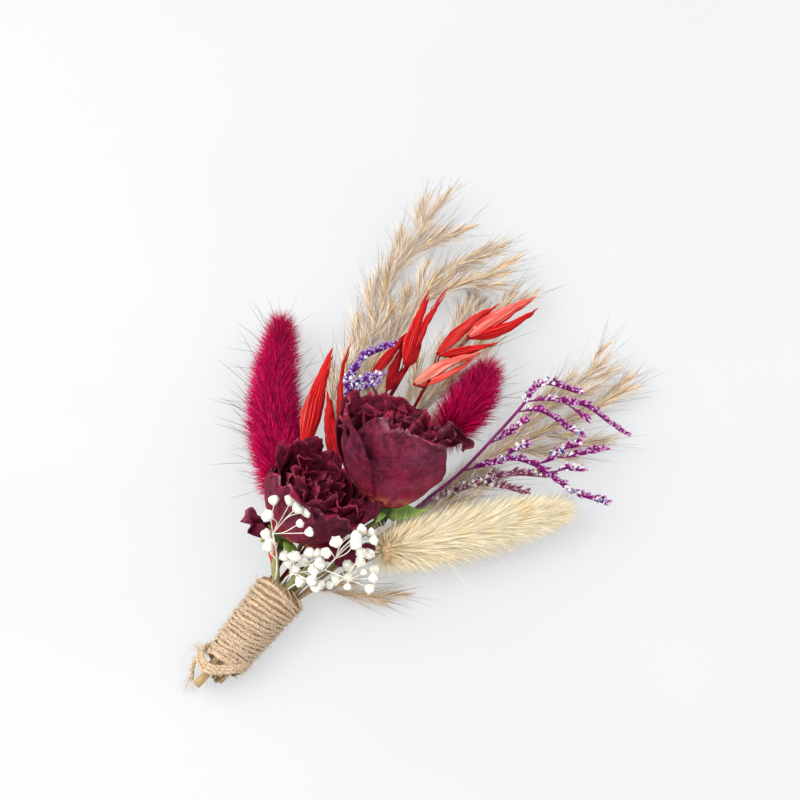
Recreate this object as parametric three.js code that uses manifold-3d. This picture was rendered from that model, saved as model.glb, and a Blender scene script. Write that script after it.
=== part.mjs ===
// A dried-flower boutonniere: two roses, three bunny tail grass heads, reed plumes, dyed oat
// spikelets, sea lavender and baby's breath, their stems bound together with jute twine.
// It lies on its back on a table. Millimetres, +Z up. The origin is on the table under the twine
// handle, and +Y runs along the handle towards the flowers.
import * as THREE from 'three';
import { mergeVertices } from 'three/addons/utils/BufferGeometryUtils.js';
import Module from 'manifold-3d';

const wasm = await Module();
wasm.setup();

// Driving dimensions
const handle = {
  pitch: 1.27, // one turn of twine
  turnsBelow: 3.5, // turns from the origin down to the lower end
  turnsAbove: 15.5, // and up to the mouth
  footRadius: 5.18,
  mouthRadius: 6.95,
  ridge: 0.32, // how far each turn of twine stands proud
  wall: 1.15, // twine thickness with its ridge
  flat: 0.2, // how far the turns are pressed flat where they lie on the table
  sides: 12,
};
// The last turn of twine is pulled round the stem ends as a slanting hitch
const hitch = {
  radius: 4.95,
  thickness: 0.6,
  slant: -0.36, // radians
  flattened: 0.93,
  centre: [0, -5.9, 4.9],
  looseEnd: [[-4.4, -4.8, 3.6], [-5.2, -7.6, 1.7], [-3.6, -10.2, 0.8], [-1.6, -11, 0.6]],
};
const stemRadius = 0.5;
const roseStemRadius = 1.1;
const petalThickness = 0.7;
const bladeThickness = 0.65;
const tolerance = 0.01; // edges shorter than this close up where solids are joined
const clearance = 0.45; // kept between the pieces where they would touch
const goldenAngle = THREE.MathUtils.degToRad(137.5);
const facing = new THREE.Vector3(0.3, -0.4, 0.866).normalize(); // the side that shows when worn

const colours = {
  twine: 0xc8a679,
  rose: 0x5d1428,
  green: 0x5f7f33,
  magenta: 0xb80a4c,
  cream: 0xf0d9a8,
  reed: 0xc7ab82,
  oat: 0xd9231c,
  lavender: 0x8a2a8c,
  white: 0xf2f1ea,
};

const vector = (p) => new THREE.Vector3(p[0], p[1], p[2]);
const mix = THREE.MathUtils.lerp;

// Repeatable random numbers from 0 to 1
function randomFrom(seed) {
  let state = seed >>> 0;
  return () => {
    state = (state + 0x6d2b79f5) >>> 0;
    let t = state;
    t = Math.imul(t ^ (t >>> 15), t | 1);
    t ^= t + Math.imul(t ^ (t >>> 7), t | 61);
    return ((t ^ (t >>> 14)) >>> 0) / 4294967296;
  };
}

// A closed geometry as a solid that can be joined and cut
function solidFrom(geometry) {
  const bare = geometry.clone();
  bare.deleteAttribute('normal');
  bare.deleteAttribute('uv');
  const merged = mergeVertices(bare, 1e-4);
  const triVerts = new Uint32Array(merged.index.array);
  const vertProperties = new Float32Array(merged.attributes.position.array);
  const made = new wasm.Manifold(new wasm.Mesh({ numProp: 3, vertProperties, triVerts, tolerance }));
  if (made.volume() >= 0) return made;
  for (let i = 0; i < triVerts.length; i += 3) {
    [triVerts[i + 1], triVerts[i + 2]] = [triVerts[i + 2], triVerts[i + 1]];
  }
  return new wasm.Manifold(new wasm.Mesh({ numProp: 3, vertProperties, triVerts, tolerance }));
}

// Joins solids two by two, so that no early one is joined again and again
function fuse(solids) {
  if (solids.length === 1) return solids[0];
  const half = Math.ceil(solids.length / 2);
  return fuse(solids.slice(0, half)).add(fuse(solids.slice(half)));
}

// The main body. Scraps cut loose are left out, and pockets sealed between crossing blades are filled.
function largestBody(solid) {
  const bodies = solid.decompose();
  return bodies.reduce((a, b) => (b.volume() > a.volume() ? b : a));
}

const table = solidFrom(new THREE.BoxGeometry(500, 500, 40).translate(0, 60, -20));
const restOnTable = (solid) => largestBody(solid.subtract(table));

function curveThrough(points) {
  return new THREE.CatmullRomCurve3(points.map(vector), false, 'centripetal');
}

// A round rod along a curve, from a cylinder whose rings are moved onto the curve
function rod(curve, radiusAt, sides, steps) {
  const geometry = new THREE.CylinderGeometry(1, 1, 1, sides, steps);
  const frames = curve.computeFrenetFrames(steps, false);
  const place = geometry.getAttribute('position');
  for (let i = 0; i < place.count; i++) {
    const share = 0.5 + place.getY(i);
    const step = Math.round(share * steps);
    const radius = radiusAt(share);
    const point = curve
      .getPointAt(share)
      .addScaledVector(frames.normals[step], radius * place.getX(i))
      .addScaledVector(frames.binormals[step], -radius * place.getZ(i));
    place.setXYZ(i, point.x, point.y, point.z);
  }
  return solidFrom(geometry);
}

// A thin curved blade. surface(across, along) gives its middle, across from -1 to 1, along from 0 to 1.
// Both faces are split into triangles alike.
function blade(surface, columns, rows, thickness) {
  const row = columns + 1;
  const perFace = row * (rows + 1);
  const points = [];
  for (const side of [0.5, -0.5]) {
    for (let j = 0; j <= rows; j++) {
      for (let i = 0; i <= columns; i++) {
        const across = -1 + (2 * i) / columns;
        const along = j / rows;
        const [left, right] = [Math.max(across - 0.02, -1), Math.min(across + 0.02, 1)];
        const [below, above] = [Math.max(along - 0.02, 0), Math.min(along + 0.02, 1)];
        const here = surface(across, along);
        const sideways = surface(right, along).sub(surface(left, along));
        const lengthways = surface(across, above).sub(surface(across, below));
        const normal = sideways.cross(lengthways).normalize();
        points.push(...here.addScaledVector(normal, side * thickness).toArray());
      }
    }
  }
  const faces = [];
  for (let j = 0; j < rows; j++) {
    for (let i = 0; i < columns; i++) {
      const a = j * row + i;
      const b = a + 1;
      const c = a + row + 1;
      const d = a + row;
      faces.push(a, b, c, a, c, d);
      faces.push(perFace + a, perFace + c, perFace + b, perFace + a, perFace + d, perFace + c);
    }
  }
  const rim = [];
  for (let i = 0; i < columns; i++) rim.push([i, i + 1]);
  for (let j = 0; j < rows; j++) rim.push([j * row + columns, (j + 1) * row + columns]);
  for (let i = columns; i > 0; i--) rim.push([rows * row + i, rows * row + i - 1]);
  for (let j = rows; j > 0; j--) rim.push([j * row, (j - 1) * row]);
  for (const [p, q] of rim) faces.push(q, p, perFace + p, q, perFace + p, perFace + q);
  const geometry = new THREE.BufferGeometry();
  geometry.setAttribute('position', new THREE.Float32BufferAttribute(points, 3));
  geometry.setIndex(faces);
  return solidFrom(geometry);
}

// A rod whose surface is raised into bristles past its bare length: raise() gives the tip for one
// facet, or nothing where it stays flat. Each ring is turned by half a facet against the last.
const bareStep = 8;
const frameCount = 240;
function bristledRod(curve, { sides, step, bare = 0, endCap = 0.3 }, radiusAt, raise) {
  const bareRings = Math.ceil((bare * curve.getLength()) / bareStep);
  const fullRings = Math.round(((1 - bare) * curve.getLength()) / step);
  const shares = [];
  for (let i = 0; i < bareRings; i++) shares.push((bare * i) / bareRings);
  for (let i = 0; i <= fullRings; i++) shares.push(mix(bare, 1, i / fullRings));
  const frames = curve.computeFrenetFrames(frameCount, false);
  const points = [];
  for (const [ring, share] of shares.entries()) {
    const centre = curve.getPointAt(share);
    const frame = Math.round(share * frameCount);
    for (let side = 0; side < sides; side++) {
      const round = ((side + ring / 2) * 2 * Math.PI) / sides;
      const radius = radiusAt(share);
      points.push(
        centre
          .clone()
          .addScaledVector(frames.normals[frame], radius * Math.cos(round))
          .addScaledVector(frames.binormals[frame], radius * Math.sin(round)),
      );
    }
  }
  const rings = shares.length - 1;
  const faces = [];
  for (let ring = 0; ring < rings; ring++) {
    const share = (shares[ring] + shares[ring + 1]) / 2;
    const tangent = curve.getTangentAt(share);
    for (let side = 0; side < sides; side++) {
      const next = (side + 1) % sides;
      const [a, b] = [ring * sides + side, ring * sides + next];
      const [c, d] = [b + sides, a + sides];
      const root = points[a].clone().add(points[b]).add(points[c]).add(points[d]).divideScalar(4);
      const out = root.clone().sub(curve.getPointAt(share));
      out.addScaledVector(tangent, -out.dot(tangent)).normalize();
      const grown = (share - bare) / (1 - bare);
      const facet = { root, out, tangent, share: grown, count: ring * sides + side };
      const tip = grown > 0 ? raise(facet) : undefined;
      if (tip) {
        const t = points.push(tip) - 1;
        faces.push(a, b, t, b, c, t, c, d, t, d, a, t);
      } else {
        faces.push(a, b, d, b, c, d);
      }
    }
  }
  const start = points.push(curve.getPointAt(0)) - 1;
  const end = points.push(curve.getPointAt(1).addScaledVector(curve.getTangentAt(1), endCap)) - 1;
  for (let side = 0; side < sides; side++) {
    const next = (side + 1) % sides;
    faces.push(next, side, start, rings * sides + side, rings * sides + next, end);
  }
  const geometry = new THREE.BufferGeometry().setFromPoints(points);
  geometry.setIndex(faces);
  return solidFrom(geometry);
}
const leaning = (tangent, out, lean) =>
  tangent.clone().multiplyScalar(Math.cos(lean)).addScaledVector(out, Math.sin(lean));

// The twine handle. It tapers, so its axis rises towards the mouth while its underside lies level.
const handleFoot = -handle.turnsBelow * handle.pitch;
const handleMouth = handle.turnsAbove * handle.pitch;
const taper = (handle.mouthRadius - handle.footRadius) / (handleMouth - handleFoot);
const facetShare = Math.cos(Math.PI / handle.sides); // a facet's distance to the axis, of the radius
const handleRadius = (y) => handle.footRadius + taper * (y - handleFoot);
const handleHeight = (y) => handleRadius(y) * facetShare - handle.flat;

function twineWinding() {
  const profile = [];
  for (let y = handleFoot; y < handleMouth - 0.01; y += handle.pitch) {
    profile.push(new THREE.Vector2(handleRadius(y) - handle.ridge, y));
    profile.push(new THREE.Vector2(handleRadius(y + handle.pitch / 2), y + handle.pitch / 2));
  }
  profile.push(new THREE.Vector2(handle.mouthRadius - handle.ridge, handleMouth));
  profile.push(new THREE.Vector2(handle.mouthRadius - handle.wall, handleMouth));
  profile.push(new THREE.Vector2(handle.footRadius - handle.wall, handleFoot));
  profile.push(profile[0].clone());
  const rise = Math.atan(taper * facetShare);
  const underside = handleRadius(0) * facetShare;
  const winding = new THREE.LatheGeometry(profile, handle.sides)
    .rotateY(Math.PI / handle.sides)
    .rotateX(rise)
    .translate(0, -underside * Math.sin(rise), underside * Math.cos(rise) - handle.flat);
  const loop = new THREE.TorusGeometry(hitch.radius, hitch.thickness, 4, handle.sides)
    .rotateX(Math.PI / 2)
    .scale(1, 1, hitch.flattened)
    .rotateZ(hitch.slant)
    .translate(...hitch.centre);
  const looseEnd = rod(curveThrough(hitch.looseEnd), (share) => mix(0.55, 0.3, share), 5, 6);
  return restOnTable(fuse([solidFrom(winding), solidFrom(loop), looseEnd]));
}

// Stems pass the mouth in five rows. Long ones reach past the winding to a cut end, and fine ones
// end inside it.
const siteGap = 2.3;
const rowGap = siteGap * Math.sin(Math.PI / 3);
function siteAt(column, row, y) {
  return [column * siteGap, y, handleHeight(y) + row * rowGap];
}
const atMouth = (column, row) => siteAt(column, row, handleMouth);
function longStem(column, row, endX, endHeight, endY) {
  const mouth = atMouth(column, row);
  const end = [endX, endY, handleHeight(endY) + endHeight];
  const middle = vector(end).lerp(vector(mouth), 0.6).toArray();
  return [end, middle, mouth];
}
function fineStem(column, row, endY = 9) {
  const middleY = (endY + handleMouth) / 2;
  return [siteAt(column, row, endY), siteAt(column, row, middleY), atMouth(column, row)];
}

function stem(points, radius = stemRadius, topRadius = radius, sides = 5) {
  const curve = curveThrough(points);
  const steps = Math.min(14, Math.max(3, Math.round(curve.getLength() / 7)));
  return rod(curve, (share) => mix(radius, topRadius, share), sides, steps);
}

// Room that each piece keeps, as round rods with a radius at each end. Tails and plumes reach out
// until another one is nearer, so theirs is marked as shared.
const room = [];
function keep(owner, points, radius, { endRadius = radius, shared = false } = {}) {
  points.slice(1).forEach((point, i) => {
    const count = points.length - 1;
    room.push({
      owner,
      shared,
      start: vector(points[i]),
      end: vector(point),
      startRadius: mix(radius, endRadius, i / count),
      endRadius: mix(radius, endRadius, (i + 1) / count),
    });
  });
}
function distanceTo(space, point) {
  const line = space.end.clone().sub(space.start);
  const along = point.clone().sub(space.start).dot(line) / Math.max(line.lengthSq(), 1e-6);
  const share = THREE.MathUtils.clamp(along, 0, 1);
  const nearest = space.start.clone().addScaledVector(line, share);
  return point.distanceTo(nearest) - mix(space.startRadius, space.endRadius, share);
}
function isClear(owner, root, direction, length) {
  return [0.3, 0.5, 0.7, 0.85, 1].every((share) => {
    const point = root.clone().addScaledVector(direction, length * share);
    let own = Infinity;
    let other = Infinity;
    for (const space of room) {
      const gap = distanceTo(space, point);
      if (space.owner === owner) own = Math.min(own, gap);
      else if (space.shared) other = Math.min(other, gap);
      else if (gap < clearance) return false;
    }
    return own + 2 * clearance < other;
  });
}
const tableDip = 0.3; // needles that point down stop here, and the table cuts them flat
function lengthAboveTable(root, direction, length) {
  if (root.z + direction.z * length > -tableDip) return length;
  return (root.z + tableDip) / -direction.z;
}

// Bunny tail grass: a slim core raised into bristles that lean towards the tip
const tailProfile = (share) =>
  Math.pow(Math.sin(Math.PI * mix(0.1, 0.93, Math.pow(share, 0.85))), 0.55);

function bunnyTail({ name, base, bow, tip, furRadius, furStep, stemPoints, seed }) {
  const curve = curveThrough([base, bow, tip]);
  const random = randomFrom(seed);
  const coreShare = 0.56;
  const coreRadius = (share) => coreShare * furRadius * tailProfile(share);
  const fur = ({ root, out, tangent, share, count }) => {
    const isAwn = count % 17 === 5;
    const lean = mix(0.62, 0.3, share) + 0.06 * (random() - 0.5);
    const direction = leaning(tangent, out, lean);
    const reach = (1 - coreShare) * furRadius * tailProfile(share) * mix(0.85, 1.15, random());
    const wanted = isAwn ? 12 : Math.min(reach / Math.sin(lean), 8);
    const length = lengthAboveTable(root, direction, wanted);
    if (length < 1.5 || !isClear(name, root, direction, length)) return undefined;
    return root.addScaledVector(direction, length);
  };
  const head = bristledRod(curve, { sides: 10, step: furStep, endCap: 3.5 }, coreRadius, fur);
  return restOnTable(fuse([head, stem([...stemPoints, base])]));
}

// A stem and what grows on from its end, as one curve with the bare share of its length
function grownFrom(stemPoints, points) {
  const curve = curveThrough([...stemPoints, ...points]);
  return { curve, bare: curveThrough(stemPoints).getLength() / curve.getLength() };
}

// Reed plume: slim fronds raised into long bristles, in a flattened fan
function plume({ name, stemPoints, crown, fronds, seed }) {
  const random = randomFrom(seed);
  const bristlesOf = (reach) => ({ root, out, tangent, share }) => {
    const flattened = new THREE.Vector3(out.x, out.y, out.z * 0.6).normalize();
    const lean = mix(0.46, 0.26, share) + 0.07 * (random() - 0.5);
    const direction = leaning(tangent, flattened, lean);
    const wanted = reach * mix(0.75, 1.1, random()) * mix(1, 0.7, share);
    const length = lengthAboveTable(root, direction, wanted);
    const fits = length > 2.5 && isClear(name, root, direction, length);
    return fits ? root.addScaledVector(direction, length) : undefined;
  };
  const main = grownFrom(stemPoints, crown.points);
  const crownShape = { sides: 4, step: 3.2, bare: main.bare, endCap: 5 };
  const crownRadius = (share) => mix(0.6, 0.36, share);
  const solids = [bristledRod(main.curve, crownShape, crownRadius, bristlesOf(crown.reach))];
  for (const { points, reach, bare = 0.2 } of fronds) {
    const frondRadius = (share) => (share === 0 ? 0.25 : mix(0.55, 0.3, share));
    const frondShape = { sides: 4, step: 3.2, bare, endCap: 4 };
    solids.push(bristledRod(curveThrough(points), frondShape, frondRadius, bristlesOf(reach)));
  }
  return restOnTable(fuse(solids));
}

// One rose petal. It wraps round the bloom's axis, bulges near its foot and opens at its rim.
function petalSurface(rose, petal) {
  const { axis, front, right } = rose;
  const out = front
    .clone()
    .multiplyScalar(Math.cos(petal.turn))
    .addScaledVector(right, Math.sin(petal.turn));
  const along = axis.clone().cross(out);
  return (across, rise) => {
    const bulge = Math.pow(Math.sin((Math.PI / 2) * Math.min(1, rise / 0.65)), 0.85);
    const late = Math.max(0, (rise - 0.55) / 0.45);
    const ripple = Math.sin(across * 4.6 + petal.phase) * petal.ripple * rise * rise;
    const fold = petal.fold * Math.pow(Math.max(0, -across), 3) * rise * rise;
    const opening = petal.flare * late * late;
    const spiral = -petal.spiral * across * bulge;
    const round = mix(petal.footRadius, petal.body, bulge);
    const distance = round + spiral + opening + ripple + fold;
    const narrow = 0.34 + 0.66 * Math.sin((Math.PI / 2) * Math.min(1, rise / 0.62));
    const rounding = Math.sqrt(1 - 0.8 * late * late);
    const bend = Math.max(distance, 2.4) * petal.openness;
    const angle = (across * petal.halfWidth * narrow * rounding) / bend;
    const lift = 0.8 * petal.ripple * rise * rise * Math.cos(across * 6 + petal.phase * 2);
    const height = mix(0.9, petal.height, rise) - 1.2 * petal.flare * late * late * late + lift;
    return rose.foot
      .clone()
      .addScaledVector(out, distance + bend * (Math.cos(angle) - 1))
      .addScaledVector(along, bend * Math.sin(angle))
      .addScaledVector(axis, height);
  };
}

// The petals of a rose, from the tight middle to the outer ones that show, on their receptacle
function rosePetals(spec) {
  const random = randomFrom(spec.seed);
  const petals = [];
  for (let i = 0; i < spec.innerPetals; i++) {
    const share = i / (spec.innerPetals - 1);
    petals.push({
      turn: i * goldenAngle,
      footRadius: mix(0.6, 4.4, share),
      body: spec.radius * mix(0.14, 0.72, share),
      flare: mix(0, 1.2, share),
      height: spec.height * mix(0.92, 1.04, random()),
      halfWidth: mix(4, 10, share),
      openness: 1,
      ripple: 0.1,
      phase: random() * 2 * Math.PI,
      fold: 0,
      spiral: 0,
    });
  }
  for (const outer of spec.outerPetals) {
    petals.push({
      ...outer,
      turn: THREE.MathUtils.degToRad(outer.turn),
      footRadius: 5,
      body: outer.rim - outer.flare,
      openness: 1.1,
      ripple: 0.35,
      phase: random() * 2 * Math.PI,
      spiral: 1.6,
    });
  }
  const rose = bloomFrame(spec);
  const blades = petals.map((petal, i) => {
    const isOuter = i >= spec.innerPetals;
    return blade(petalSurface(rose, petal), isOuter ? 5 : 3, isOuter ? 4 : 3, petalThickness);
  });
  const at = (height) => rose.foot.clone().addScaledVector(rose.axis, height).toArray();
  const receptacle = rod(curveThrough([at(0), at(2.8)]), (share) => mix(2.6, 6.2, share), 8, 1);
  return largestBody(fuse([receptacle, ...blades]));
}

function bloomFrame(spec) {
  const axis = vector(spec.axis).normalize();
  const front = facing.clone().addScaledVector(axis, -facing.dot(axis)).normalize();
  const right = axis.clone().cross(front);
  return { foot: vector(spec.foot), axis, front, right };
}

// The green hip under a rose, its sepals and its stem
const sepalRoot = 1.6;
function sepalPoint({ foot, axis, front, right }, sepal, across, along) {
  const turn = THREE.MathUtils.degToRad(sepal.turn);
  const out = front.clone().multiplyScalar(Math.cos(turn)).addScaledVector(right, Math.sin(turn));
  const swell = 0.4 + 0.6 * Math.sin(Math.PI * Math.pow(along, 0.6));
  const width = sepal.width * swell * (1 - 0.85 * along * along * along);
  return foot
    .clone()
    .addScaledVector(axis, -1.5 - sepal.droop * along * along - 0.5 * across * across)
    .addScaledVector(out, sepalRoot + sepal.length * along)
    .addScaledVector(axis.clone().cross(out), across * width);
}

function roseStem(spec) {
  const bloom = bloomFrame(spec);
  const at = (height) => bloom.foot.clone().addScaledVector(bloom.axis, height).toArray();
  const hipRadius = (share) => mix(1.2, 3, Math.sin((share * Math.PI) / 2));
  const solids = [rod(curveThrough([at(-6), at(-3), at(-0.35)]), hipRadius, 7, 2)];
  for (const sepal of spec.sepals) {
    const surface = (across, along) => sepalPoint(bloom, sepal, across, along);
    solids.push(blade(surface, 2, 4, bladeThickness));
  }
  solids.push(rod(curveThrough([...spec.stemPoints, at(-5)]), () => roseStemRadius, 6, 9));
  return restOnTable(fuse(solids));
}

// Oat: long pointed husks on thin stalks, where two make a pair one lies a little behind the other
function husk(base, tip, halfWidth, bow, depth) {
  const along = tip.clone().sub(base);
  const length = along.length();
  along.normalize();
  const side = along.clone().cross(facing).normalize();
  const out = side.clone().cross(along).normalize();
  const surface = (across, share) => {
    const belly = Math.sin(Math.PI * Math.pow(mix(0.06, 0.97, share), 0.6));
    const width = halfWidth * Math.pow(belly, 0.8);
    return base
      .clone()
      .addScaledVector(along, length * share)
      .addScaledVector(side, across * width + bow * belly)
      .addScaledVector(out, depth * Math.min(1, 4 * share) - 0.25 * width * across * across);
  };
  return blade(surface, 2, 4, bladeThickness);
}

function oatSpray({ stemPoints, spikelets }) {
  const solids = [stem(stemPoints)];
  for (const { from, via = [], base, tip, secondTip, halfWidth } of spikelets) {
    const root = vector(base);
    solids.push(husk(root, vector(tip), halfWidth, secondTip ? 0.9 : 0, 0));
    if (secondTip) solids.push(husk(root, vector(secondTip), halfWidth, -0.9, -1.3));
    solids.push(stem([from, ...via, base], 0.45, 0.45, 4));
    solids.push(solidFrom(new THREE.OctahedronGeometry(1.1, 0).translate(...base)));
  }
  return restOnTable(fuse(solids));
}

// Sea lavender: thin branches raised into small florets
function seaLavender({ stemPoints, crown, branches, seed }) {
  const random = randomFrom(seed);
  const florets = ({ root, out, tangent, share }) => {
    const lean = mix(0.75, 0.5, share) + 0.1 * (random() - 0.5);
    return root.addScaledVector(leaning(tangent, out, lean), mix(2.3, 3.2, random()));
  };
  const main = grownFrom(stemPoints, crown);
  const branchRadius = (share) => (share === 0 ? 0.2 : mix(0.5, 0.36, share));
  const crownShape = { sides: 3, step: 2.5, bare: main.bare, endCap: 1.5 };
  const solids = [bristledRod(main.curve, crownShape, () => 0.5, florets)];
  for (const { points, bare = 0.2 } of branches) {
    const branchShape = { sides: 3, step: 2.5, bare, endCap: 1.5 };
    solids.push(bristledRod(curveThrough(points), branchShape, branchRadius, florets));
  }
  return restOnTable(fuse(solids));
}

// Baby's breath: a stalk that forks at hubs, with a round bud at the end of every twig
function budOnTwig(root, tip, budRadius) {
  const length = root.distanceTo(tip);
  const profile = [
    [0, 0],
    [0.26, 0],
    [0.26, length - budRadius],
    [budRadius, length],
    [0, length + 0.9 * budRadius],
  ].map(([radius, y]) => new THREE.Vector2(radius, y));
  const direction = tip.clone().sub(root).normalize();
  const turn = new THREE.Quaternion().setFromUnitVectors(new THREE.Vector3(0, 1, 0), direction);
  const geometry = new THREE.LatheGeometry(profile, 4).applyQuaternion(turn);
  return solidFrom(geometry.translate(root.x, root.y, root.z));
}

function babysBreath({ stemPoints, hubs, seed }) {
  const random = randomFrom(seed);
  const solids = [stem(stemPoints, 0.4, 0.4, 4)];
  for (const hub of hubs) {
    const centre = vector(hub.at);
    if (hub.from) solids.push(stem([hub.from, hub.at], 0.36, 0.36, 4));
    const main = vector(hub.towards).sub(centre);
    const length = main.length();
    main.normalize();
    const side = new THREE.Vector3(0, 0, 1).cross(main).normalize();
    const over = main.clone().cross(side);
    for (let i = 0; i < hub.buds; i++) {
      const round = i * goldenAngle + hub.turn;
      const spread = hub.spread * Math.sqrt((i + 0.6) / hub.buds);
      const direction = main
        .clone()
        .addScaledVector(side, spread * Math.cos(round))
        .addScaledVector(over, spread * 0.6 * Math.sin(round))
        .normalize();
      const tip = centre.clone().addScaledVector(direction, length * mix(0.7, 1.1, random()));
      solids.push(budOnTwig(centre, tip, mix(1.2, 1.45, random())));
    }
  }
  return restOnTable(fuse(solids));
}

// The roses
const largeRose = {
  name: 'rose_large',
  foot: [7.6, 51.9, 14],
  axis: [-0.15, 0.68, 0.72],
  height: 25,
  radius: 16.5,
  innerPetals: 9,
  outerPetals: [
    { turn: -64, rim: 14.6, flare: 2, height: 26, halfWidth: 11.5, fold: 1.2 },
    { turn: -2, rim: 15.6, flare: 2.6, height: 25, halfWidth: 14, fold: 1.6 },
    { turn: 62, rim: 16, flare: 3.2, height: 24.5, halfWidth: 11.5, fold: 1.6 },
    { turn: 134, rim: 15.4, flare: 2.8, height: 26, halfWidth: 12.5, fold: 1 },
    { turn: 214, rim: 15, flare: 2.2, height: 26, halfWidth: 13, fold: 1 },
  ],
  sepals: [
    { turn: 84, length: 7.4, width: 2, droop: 0.1 },
    { turn: 150, length: 7, width: 1.8, droop: 0.6 },
    { turn: 350, length: 4.4, width: 1.7, droop: 1.6 },
  ],
  stemPoints: [...longStem(0.39, 1, 1.4, 1.3, -8.2), [3.6, 32, 9.3]],
  seed: 11,
};
const smallRose = {
  name: 'rose_small',
  foot: [-7.3, 31.6, 12.4],
  axis: [0.2, 0.68, 0.71],
  height: 20,
  radius: 13.5,
  innerPetals: 8,
  outerPetals: [
    { turn: -84, rim: 10.6, flare: 1.4, height: 20, halfWidth: 9, fold: 1 },
    { turn: -24, rim: 12.8, flare: 2, height: 22, halfWidth: 11, fold: 1 },
    { turn: 46, rim: 13.2, flare: 2.4, height: 20, halfWidth: 10.6, fold: 1.2 },
    { turn: 118, rim: 11.9, flare: 1.8, height: 19, halfWidth: 9, fold: 1 },
    { turn: 196, rim: 11.8, flare: 1.4, height: 20, halfWidth: 10.4, fold: 0.8 },
  ],
  sepals: [
    { turn: 50, length: 7, width: 1.9, droop: 1 },
    { turn: 250, length: 6.5, width: 1.8, droop: 0.6 },
    { turn: 330, length: 6.5, width: 1.7, droop: 1.2 },
  ],
  stemPoints: [...longStem(-0.83, 1, -1.3, 1.3, -9.2), [-4.6, 23, 9.8]],
  seed: 23,
};
const roses = [largeRose, smallRose];

// Bunny tails
const leftTail = {
  name: 'bunny_tail_left',
  colour: colours.magenta,
  base: [-15.6, 44.6, 8.6],
  bow: [-35.2, 59.8, 7.6],
  tip: [-49, 80.6, 7.4],
  furRadius: 7.6,
  furStep: 3,
  stemPoints: [...longStem(-1.5, -1, -2.75, -0.6, -7.6), [-9, 31.5, 6.8]],
  seed: 5,
};
const creamTail = {
  name: 'bunny_tail_cream',
  colour: colours.cream,
  base: [15.8, 45.6, 8.6],
  bow: [29.6, 62.4, 8.4],
  tip: [43.6, 82, 8.2],
  furRadius: 8.8,
  furStep: 3,
  stemPoints: [...longStem(1.87, 0, 2.75, -0.1, -8.6), [9.8, 32.5, 7.8]],
  seed: 6,
};
const backTail = {
  name: 'bunny_tail_back',
  colour: colours.magenta,
  base: [7.2, 79.5, 8.6],
  bow: [6.4, 91, 9.2],
  tip: [4.4, 104.6, 10],
  furRadius: 6.6,
  furStep: 2.8,
  stemPoints: [...longStem(0.5, -1, 0.3, -1, -7.8), [2.4, 40, 5.4], [4.4, 60, 5.4]],
  seed: 7,
};
const tails = [leftTail, creamTail, backTail];

// Reed plumes, each with a crown on its stem and side fronds
const leftPlume = {
  name: 'reed_plume_left',
  stemPoints: [...longStem(-1, -2, -1.8, -1.75, -9.8), [-8.2, 42, 3.6], [-15.6, 60, 4], [-18, 65, 4.2]],
  crown: { points: [[-21.6, 73, 4.8], [-30.6, 95, 6], [-36.8, 116, 6.6], [-39.4, 140, 7]], reach: 12 },
  fronds: [
    { points: [[-26, 84, 5.3], [-33.6, 96, 4.4], [-41, 112, 3.6]], reach: 9 },
    { points: [[-35.2, 110, 6.4], [-34.6, 121, 8], [-32, 131, 9]], reach: 8.5 },
  ],
  seed: 31,
};
const middlePlume = {
  name: 'reed_plume_middle',
  stemPoints: [...longStem(0, -2, -0.5, -2.5, -7.4), [-4, 42, 3], [-11, 62, 3.2], [-15, 74, 3.4]],
  crown: { points: [[-17.8, 83, 3.8], [-22.6, 100, 5.4], [-25, 117, 7], [-19.4, 135, 8]], reach: 12 },
  fronds: [{ points: [[-24, 108, 6], [-19.4, 118, 8], [-11.6, 128.4, 9]], reach: 8.5 }],
  seed: 32,
};
const innerPlume = {
  name: 'reed_plume_inner',
  stemPoints: [...longStem(1, -2, 0.9, -2.3, -9.2), [0.6, 42, 2.8], [-2.2, 62, 2.8], [-4, 75, 2.9]],
  crown: { points: [[-5.2, 83, 3.2], [-7.4, 96, 4], [-6.4, 112, 5.4], [-1.8, 127, 7]], reach: 11 },
  fronds: [{ points: [[-7.4, 100, 4.3], [-11.4, 110, 5], [-13, 120, 5.4]], reach: 8 }],
  seed: 33,
};
const rightPlume = {
  name: 'reed_plume_right',
  stemPoints: [...longStem(1.5, -1, 2.1, -1.6, -10.2), [7.4, 40, 3.8], [12.6, 58, 4], [13.8, 62, 4.2]],
  crown: { points: [[17.6, 76, 5], [22.4, 98, 6], [27, 124, 7]], reach: 12 },
  fronds: [
    { points: [[20.6, 90, 5.6], [29, 104, 5], [36.4, 122, 4.6]], reach: 10 },
    { points: [[19.9, 86, 5.4], [29, 94, 4], [37, 103, 3]], reach: 8.5 },
    { points: [[4.4, 25, 4.3], [8.6, 28.4, 3.4], [14.6, 31.4, 2], [19, 33.6, 1.7]], reach: 6, bare: 0.35 },
  ],
  seed: 34,
};
const plumes = [leftPlume, middlePlume, innerPlume, rightPlume];

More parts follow.
